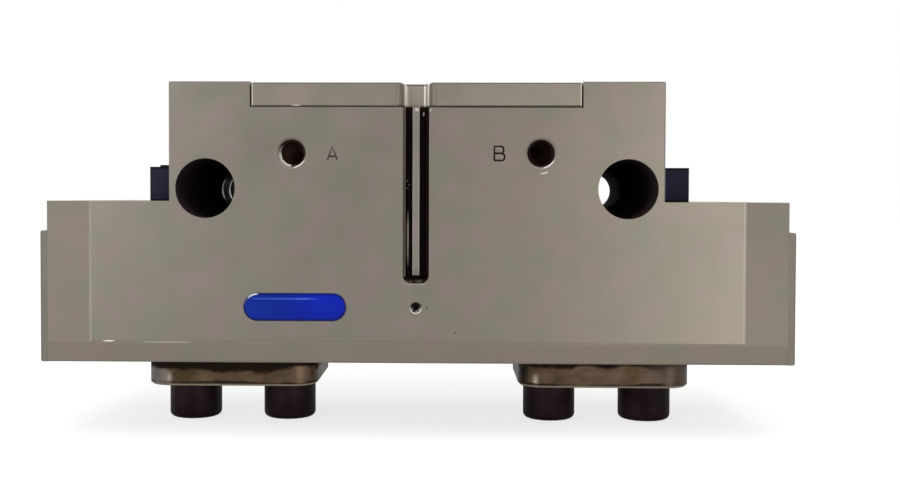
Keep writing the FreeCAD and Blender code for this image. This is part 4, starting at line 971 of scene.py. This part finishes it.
resin = coated(
    "badge_resin", light=(4, 36, 182), dark=(3, 30, 158), cloud_scale=70.0, smooth=0.2, rough=0.28,
    edge_width=0.05, edge_colour=(12, 30, 110), relief=0.0, metallic=0.0, shine=0.1,
)
tree = resin.node_tree
along, _, height = parts_of_place(tree)
radius, straight = BADGE_RADIUS / MM, STRAIGHT / MM
along_badge = work_out("SUBTRACT", along, middle.x / MM)
up_badge = work_out("SUBTRACT", height, middle.z / MM)
past_straight = work_out("SUBTRACT", work_out("ABSOLUTE", along_badge), straight)
past_straight = work_out("MAXIMUM", past_straight, 0.0)
from_middle = work_out("SQRT", square_distance(past_straight, up_badge))
left_half = stretch(along_badge, 0.2 * straight, -straight)
rim_shade = stretch(from_middle, radius - 1.3, radius - 0.4)
sheen = overlap(
    between(up_badge, 0.54 * radius, 0.64 * radius, 0.2),
    between(along_badge, -straight - 0.5, 0.5 * straight, 3),
    stretch(noise(tree, 140.0, 2.0, (0.5, 1, 1)), 0.3, 0.6),
)
corner_glint = overlap(
    between(from_middle, radius - 0.75, radius - 0.2, 0.15),
    between(along_badge, -straight - 3.6, -straight, 0.6), stretch(up_badge, 0, 1),
)
lay_over(
    resin, (left_half, (3, 48, 140), 0.6), (rim_shade, (5, 11, 52), 0.75), (sheen, (104, 144, 234), 0.75),
    (corner_glint, (240, 244, 252), 0.95),
)
tree.nodes["Principled BSDF"].inputs["Coat Weight"].default_value = 0.18
tree.nodes["Principled BSDF"].inputs["Coat Roughness"].default_value = 0.04
fit(badge, resin, "housing", "badge_plastic", "front_badge")

# Piston and wedge hook
# An oval aluminium piston with a rubber seal, a magnet for the sensors and one screw that draws it down on
# the rod. The rod and the wedge hook are one piece of hardened steel, and it slides in a bronze bush.

bare_aluminium = coated(
    "piston_aluminium", light=(188, 188, 186), dark=(174, 174, 172), cloud_scale=90.0, smooth=0.28, rough=0.4,
    edge_width=0.3, edge_colour=(215, 215, 213), relief=0.2, metallic=1.0,
)
hardened = coated(
    "hardened_steel", light=(150, 146, 140), dark=(128, 124, 118), cloud_scale=80.0, smooth=0.22, rough=0.36,
    edge_width=0.3, edge_colour=(200, 196, 188), relief=0.2, metallic=1.0,
)
bronze = coated(
    "bush_bronze", light=(176, 128, 74), dark=(150, 104, 58), cloud_scale=130.0, smooth=0.3, rough=0.44,
    edge_width=0.2, edge_colour=(206, 164, 106), relief=0.25, metallic=1.0,
)
magnet_nickel = coated(
    "magnet_nickel", light=(168, 166, 160), dark=(152, 150, 144), cloud_scale=300.0, smooth=0.16, rough=0.26,
    edge_width=0.2, edge_colour=(206, 204, 198), relief=0.1, metallic=1.0,
)
for node, material in (
    ("piston", bare_aluminium), ("piston_magnet", magnet_nickel), ("piston_screw", blackened),
    ("wedge_hook", hardened), ("rod_bush", bronze),
):
    finish_node(node, material)

# Base jaws
# Two hardened and ground steel jaws with a finger pad under the housing. A film of brown grease lies on them,
# thick and dark where they leave the guide, with painted shade there too. The outer ends of the pads are
# painted lighter and the inner end of the right one darker, as light and shade, and the edge of the pad
# carries a painted highlight.

jaw_finish = coated(
    "jaw_steel", light=(126, 105, 86), dark=(88, 72, 53), cloud_scale=60.0, smooth=0.28, rough=0.42,
    edge_width=0.4, edge_colour=(132, 115, 94), relief=0.2, metallic=0.9, shine=0.15,
)
PAD_FACE, PAD_FRONT = -132.2, 31.4
tree = jaw_finish.node_tree
along, inward, height = parts_of_place(tree)
on_left = work_out("LESS_THAN", along, 0.0)
in_front = stretch(inward, 6 - PAD_FRONT, 2 - PAD_FRONT)
on_pad = stretch(height, -117.6, -118.0)
below_guide = stretch(height, -117.1, -117.3)

# Drops of grease, painted light on the left end, a painted highlight streak on each pad, and a thin film on
# the right one.
drops = stretch(noise(tree, 120.0, 4.0, (0.6, 1, 2)), 0.6, 0.7)
lit_left_end = overlap(on_pad, stretch(along, -109.5, -112.5))
lay_over(jaw_finish, (drops, (64, 46, 30), 0.6), (lit_left_end, (132, 127, 124), 0.8))
for streak in (-110.3, 52.2):
    streak_highlight = overlap(
        on_pad, in_front, between(along, streak - 0.7, streak + 0.9, 0.8), stretch(height, -125.5, -128)
    )
    lay_over(jaw_finish, (streak_highlight, (206, 196, 178), 0.7))
right_film = overlap(
    outside(on_left), stretch(height, -135, -123),
    stretch(noise(tree, 110.0, 3.0, (0.6, 1, 1.6)), 0.35, 0.55),
)

# Thick grease and painted shade with a ragged edge under the guide, lower on the left jaw and lowest in its
# middle.
ragged = noise(tree, 75.0, 5.0, (1, 1, 1.6))
middle_low = between(along, -100, -66, 12)
grease_and_shade_level = raise_by(height, ragged, 9)
grease_and_shade_level = raise_by(grease_and_shade_level, on_left, 1.4)
grease_and_shade_level = raise_by(grease_and_shade_level, middle_low, 1.8)
grease_and_shade = overlap(stretch(grease_and_shade_level, -119.4, -117.8), below_guide)
rail_film = overlap(outside(below_guide), stretch(noise(tree, 80.0, 3.0), 0.2, 0.7))
lay_over(
    jaw_finish, (right_film, (40, 28, 16), 0.66), (grease_and_shade, (34, 17, 7), 1.0),
    (rail_film, (52, 38, 25), 0.7),
)
cover_metal(jaw_finish, grease_and_shade)
cover_metal(jaw_finish, rail_film, share=0.5)
dull(jaw_finish, grease_and_shade, 0.3)

# Painted light on the outer end of the right pad and painted shade on its inner end, a line of grease low on
# both pads, and a painted highlight on the edge below it.
lit_right_end = overlap(on_pad, stretch(along, 98, 107))
shaded_inner_end = overlap(on_pad, between(along, 40, 49, 0.8))
low_line = overlap(
    stretch(height, PAD_FACE + 0.95, PAD_FACE + 1.1),
    stretch(raise_by(height, ragged, 3), PAD_FACE + 3.6, PAD_FACE + 3.3),
    stretch(noise(tree, 45.0, 3.0, (1, 1, 0.2)), 0.45, 0.55),
)
pad_edge_highlight = between(height, PAD_FACE - 0.1, PAD_FACE + 0.9, 0.1)
lay_over(
    jaw_finish, (lit_right_end, (96, 87, 81), 0.6), (shaded_inner_end, (46, 38, 34), 0.6), (low_line, (34, 22, 12), 0.85),
    (pad_edge_highlight, (226, 211, 186), 0.75),
)
cover_metal(jaw_finish, low_line)
for side in ("left", "right"):
    finish_node(f"{side}_base_jaw", jaw_finish)
    finish_node(f"{side}_switching_cam", hardened)
    finish_node(f"{side}_cam_screws", blackened)
    finish_node(f"{side}_centering_sleeves", hardened)

# Jaw screws
# Two M16 socket head cap screws in each jaw, forged and blackened, with a large round on the rim of the head.
# They hold the finger on its centering sleeves.

dark_oxide = coated(
    "jaw_screw_oxide", light=(50, 33, 41), dark=(33, 19, 24), cloud_scale=90.0, smooth=0.42, rough=0.58,
    edge_width=0.4, edge_colour=(50, 36, 40), relief=0.3, metallic=0.85,
)
JAW_HEAD = 24 * MM
for side in ("left", "right"):
    low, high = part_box(f"{side}_jaw_screws")
    master = cap_screw(
        JAW_HEAD, head_height=16 * MM, flats=14 * MM, thread=16 * MM, length=high.z - low.z,
        rounding=2.5 * MM,
    )
    places = [((x, 0, low.z), (math.pi, 0, 0)) for x in (low.x + JAW_HEAD / 2, high.x - JAW_HEAD / 2)]
    set_in(
        master, f"{side}_jaw_screw", places, dark_oxide, f"{side}_jaw", "screw_steel", f"{side}_jaw_screws"
    )

# Studio
# A plain white floor under the heads of the jaw screws, clear from below, a white room and three soft lamps.
# The camera stands almost square to the front, a little to the right of the middle.

FLOOR_SIZE, FLOOR_GLOW, MIRRORED_GLOW = 12, 0.72, 0.13
floor = begin("floor", bpy.ops.mesh.primitive_plane_add, size=FLOOR_SIZE, location=(0, 0, cad_box[0].z))
paper = bpy.data.materials.new("floor_paper")
paper.use_nodes = True
tree = paper.node_tree
shader = tree.nodes["Principled BSDF"]
shader.inputs["Roughness"].default_value = 0.9
fibres = stretch(noise(tree, 300.0), 0.0, 1.0)
whites = mix_colours(fibres, (0.52, 0.52, 0.52, 1), (0.56, 0.56, 0.56, 1))
tree.links.new(whites, shader.inputs["Base Color"])
ray = add_node(tree, "ShaderNodeLightPath").outputs
mirrored = either(ray["Is Glossy Ray"], ray["Is Transmission Ray"])
seen_glow = work_out("MULTIPLY", ray["Is Camera Ray"], FLOOR_GLOW)
glow = either(seen_glow, work_out("MULTIPLY", mirrored, MIRRORED_GLOW))
shader.inputs["Emission Color"].default_value = (1, 1, 1, 1)
tree.links.new(glow, shader.inputs["Emission Strength"])
backfacing = add_node(tree, "ShaderNodeNewGeometry").outputs["Backfacing"]
tree.links.new(outside(backfacing), shader.inputs["Alpha"])
floor.data.materials.append(paper)

ROOM_LIGHT, ROOM_FRONT, ROOM_SIDE = 0.45, 0.39, 0.6
world = bpy.data.worlds.new("white_room")
bpy.context.scene.world = world
world.use_nodes = True
tree = world.node_tree
ray = add_node(tree, "ShaderNodeLightPath").outputs
direction = add_node(tree, "ShaderNodeTexCoord").outputs["Generated"]
facing = add_node(tree, "ShaderNodeSeparateXYZ", {0: direction}).outputs
behind = stretch(facing["Y"], 0.1, 0.5)
aside = stretch(work_out("ABSOLUTE", facing["X"]), 0.7, 0.95)
beside = either(behind, work_out("MULTIPLY", aside, ROOM_SIDE))
backdrop = raise_by(ROOM_FRONT, beside, 1 - ROOM_FRONT)
mirrored = either(ray["Is Glossy Ray"], ray["Is Transmission Ray"])
strength = work_out("MULTIPLY", mirrored, backdrop)
strength = raise_by(strength, ray["Is Diffuse Ray"], ROOM_LIGHT)
strength = either(strength, ray["Is Camera Ray"])
tree.links.new(strength, tree.nodes["Background"].inputs["Strength"])
tree.nodes["Background"].inputs["Color"].default_value = (1, 1, 1, 1)

LAMPS = [
    # name, place, width, height, power and colour of a soft lamp
    ("right_softbox", (0.85, -1.4, -0.02), 0.8, 0.36, 4.2, (1.0, 0.97, 0.89)),
    ("left_softbox", (-1.1, -1.35, 0.28), 0.7, 0.7, 6.7, (1.0, 1.0, 1.0)),
    ("top_softbox", (0.0, -0.8, 1.15), 1.2, 1.2, 7.5, (1.0, 1.0, 1.0)),
]
LAMP_TARGET = Vector((0, 0, -0.06))
for name, place, width, height, power, colour in LAMPS:
    bpy.ops.object.select_all(action="DESELECT")
    bpy.ops.object.light_add(type="AREA", location=place)
    lamp = bpy.context.object
    lamp.name = name
    lamp.data.shape = "RECTANGLE"
    lamp.data.size = width
    lamp.data.size_y = height
    lamp.data.energy = power
    lamp.data.color = colour
    lamp.rotation_euler = (LAMP_TARGET - Vector(place)).to_track_quat("-Z", "Y").to_euler()

IMAGE_WIDTH = 900
FOCAL_PIXELS, SHIFT_RIGHT, SHIFT_UP = 1156, 23.9, -22.4
CAMERA_PLACE = Vector((13.81, -541.6, -48.25)) * MM
YAW, PITCH, ROLL = (math.radians(angle) for angle in (-1.137, -1.441, 0.166))
forward = Vector((math.sin(YAW) * math.cos(PITCH), math.cos(YAW) * math.cos(PITCH), math.sin(PITCH)))
level = Vector((math.cos(YAW), -math.sin(YAW), 0))
upright = level.cross(forward)
right = math.cos(ROLL) * level + math.sin(ROLL) * upright
up = -math.sin(ROLL) * level + math.cos(ROLL) * upright
bpy.ops.object.camera_add()
camera = bpy.context.object
turn = Matrix((right, up, -forward)).transposed().to_4x4()
camera.matrix_world = Matrix.Translation(CAMERA_PLACE) @ turn
camera.data.sensor_fit = "HORIZONTAL"
camera.data.sensor_width = 36
camera.data.lens = camera.data.sensor_width * FOCAL_PIXELS / IMAGE_WIDTH
camera.data.shift_x = SHIFT_RIGHT / IMAGE_WIDTH
camera.data.shift_y = SHIFT_UP / IMAGE_WIDTH
camera.data.clip_start = 0.01
bpy.context.scene.camera = camera
bpy.context.scene.view_settings.view_transform = "Standard"
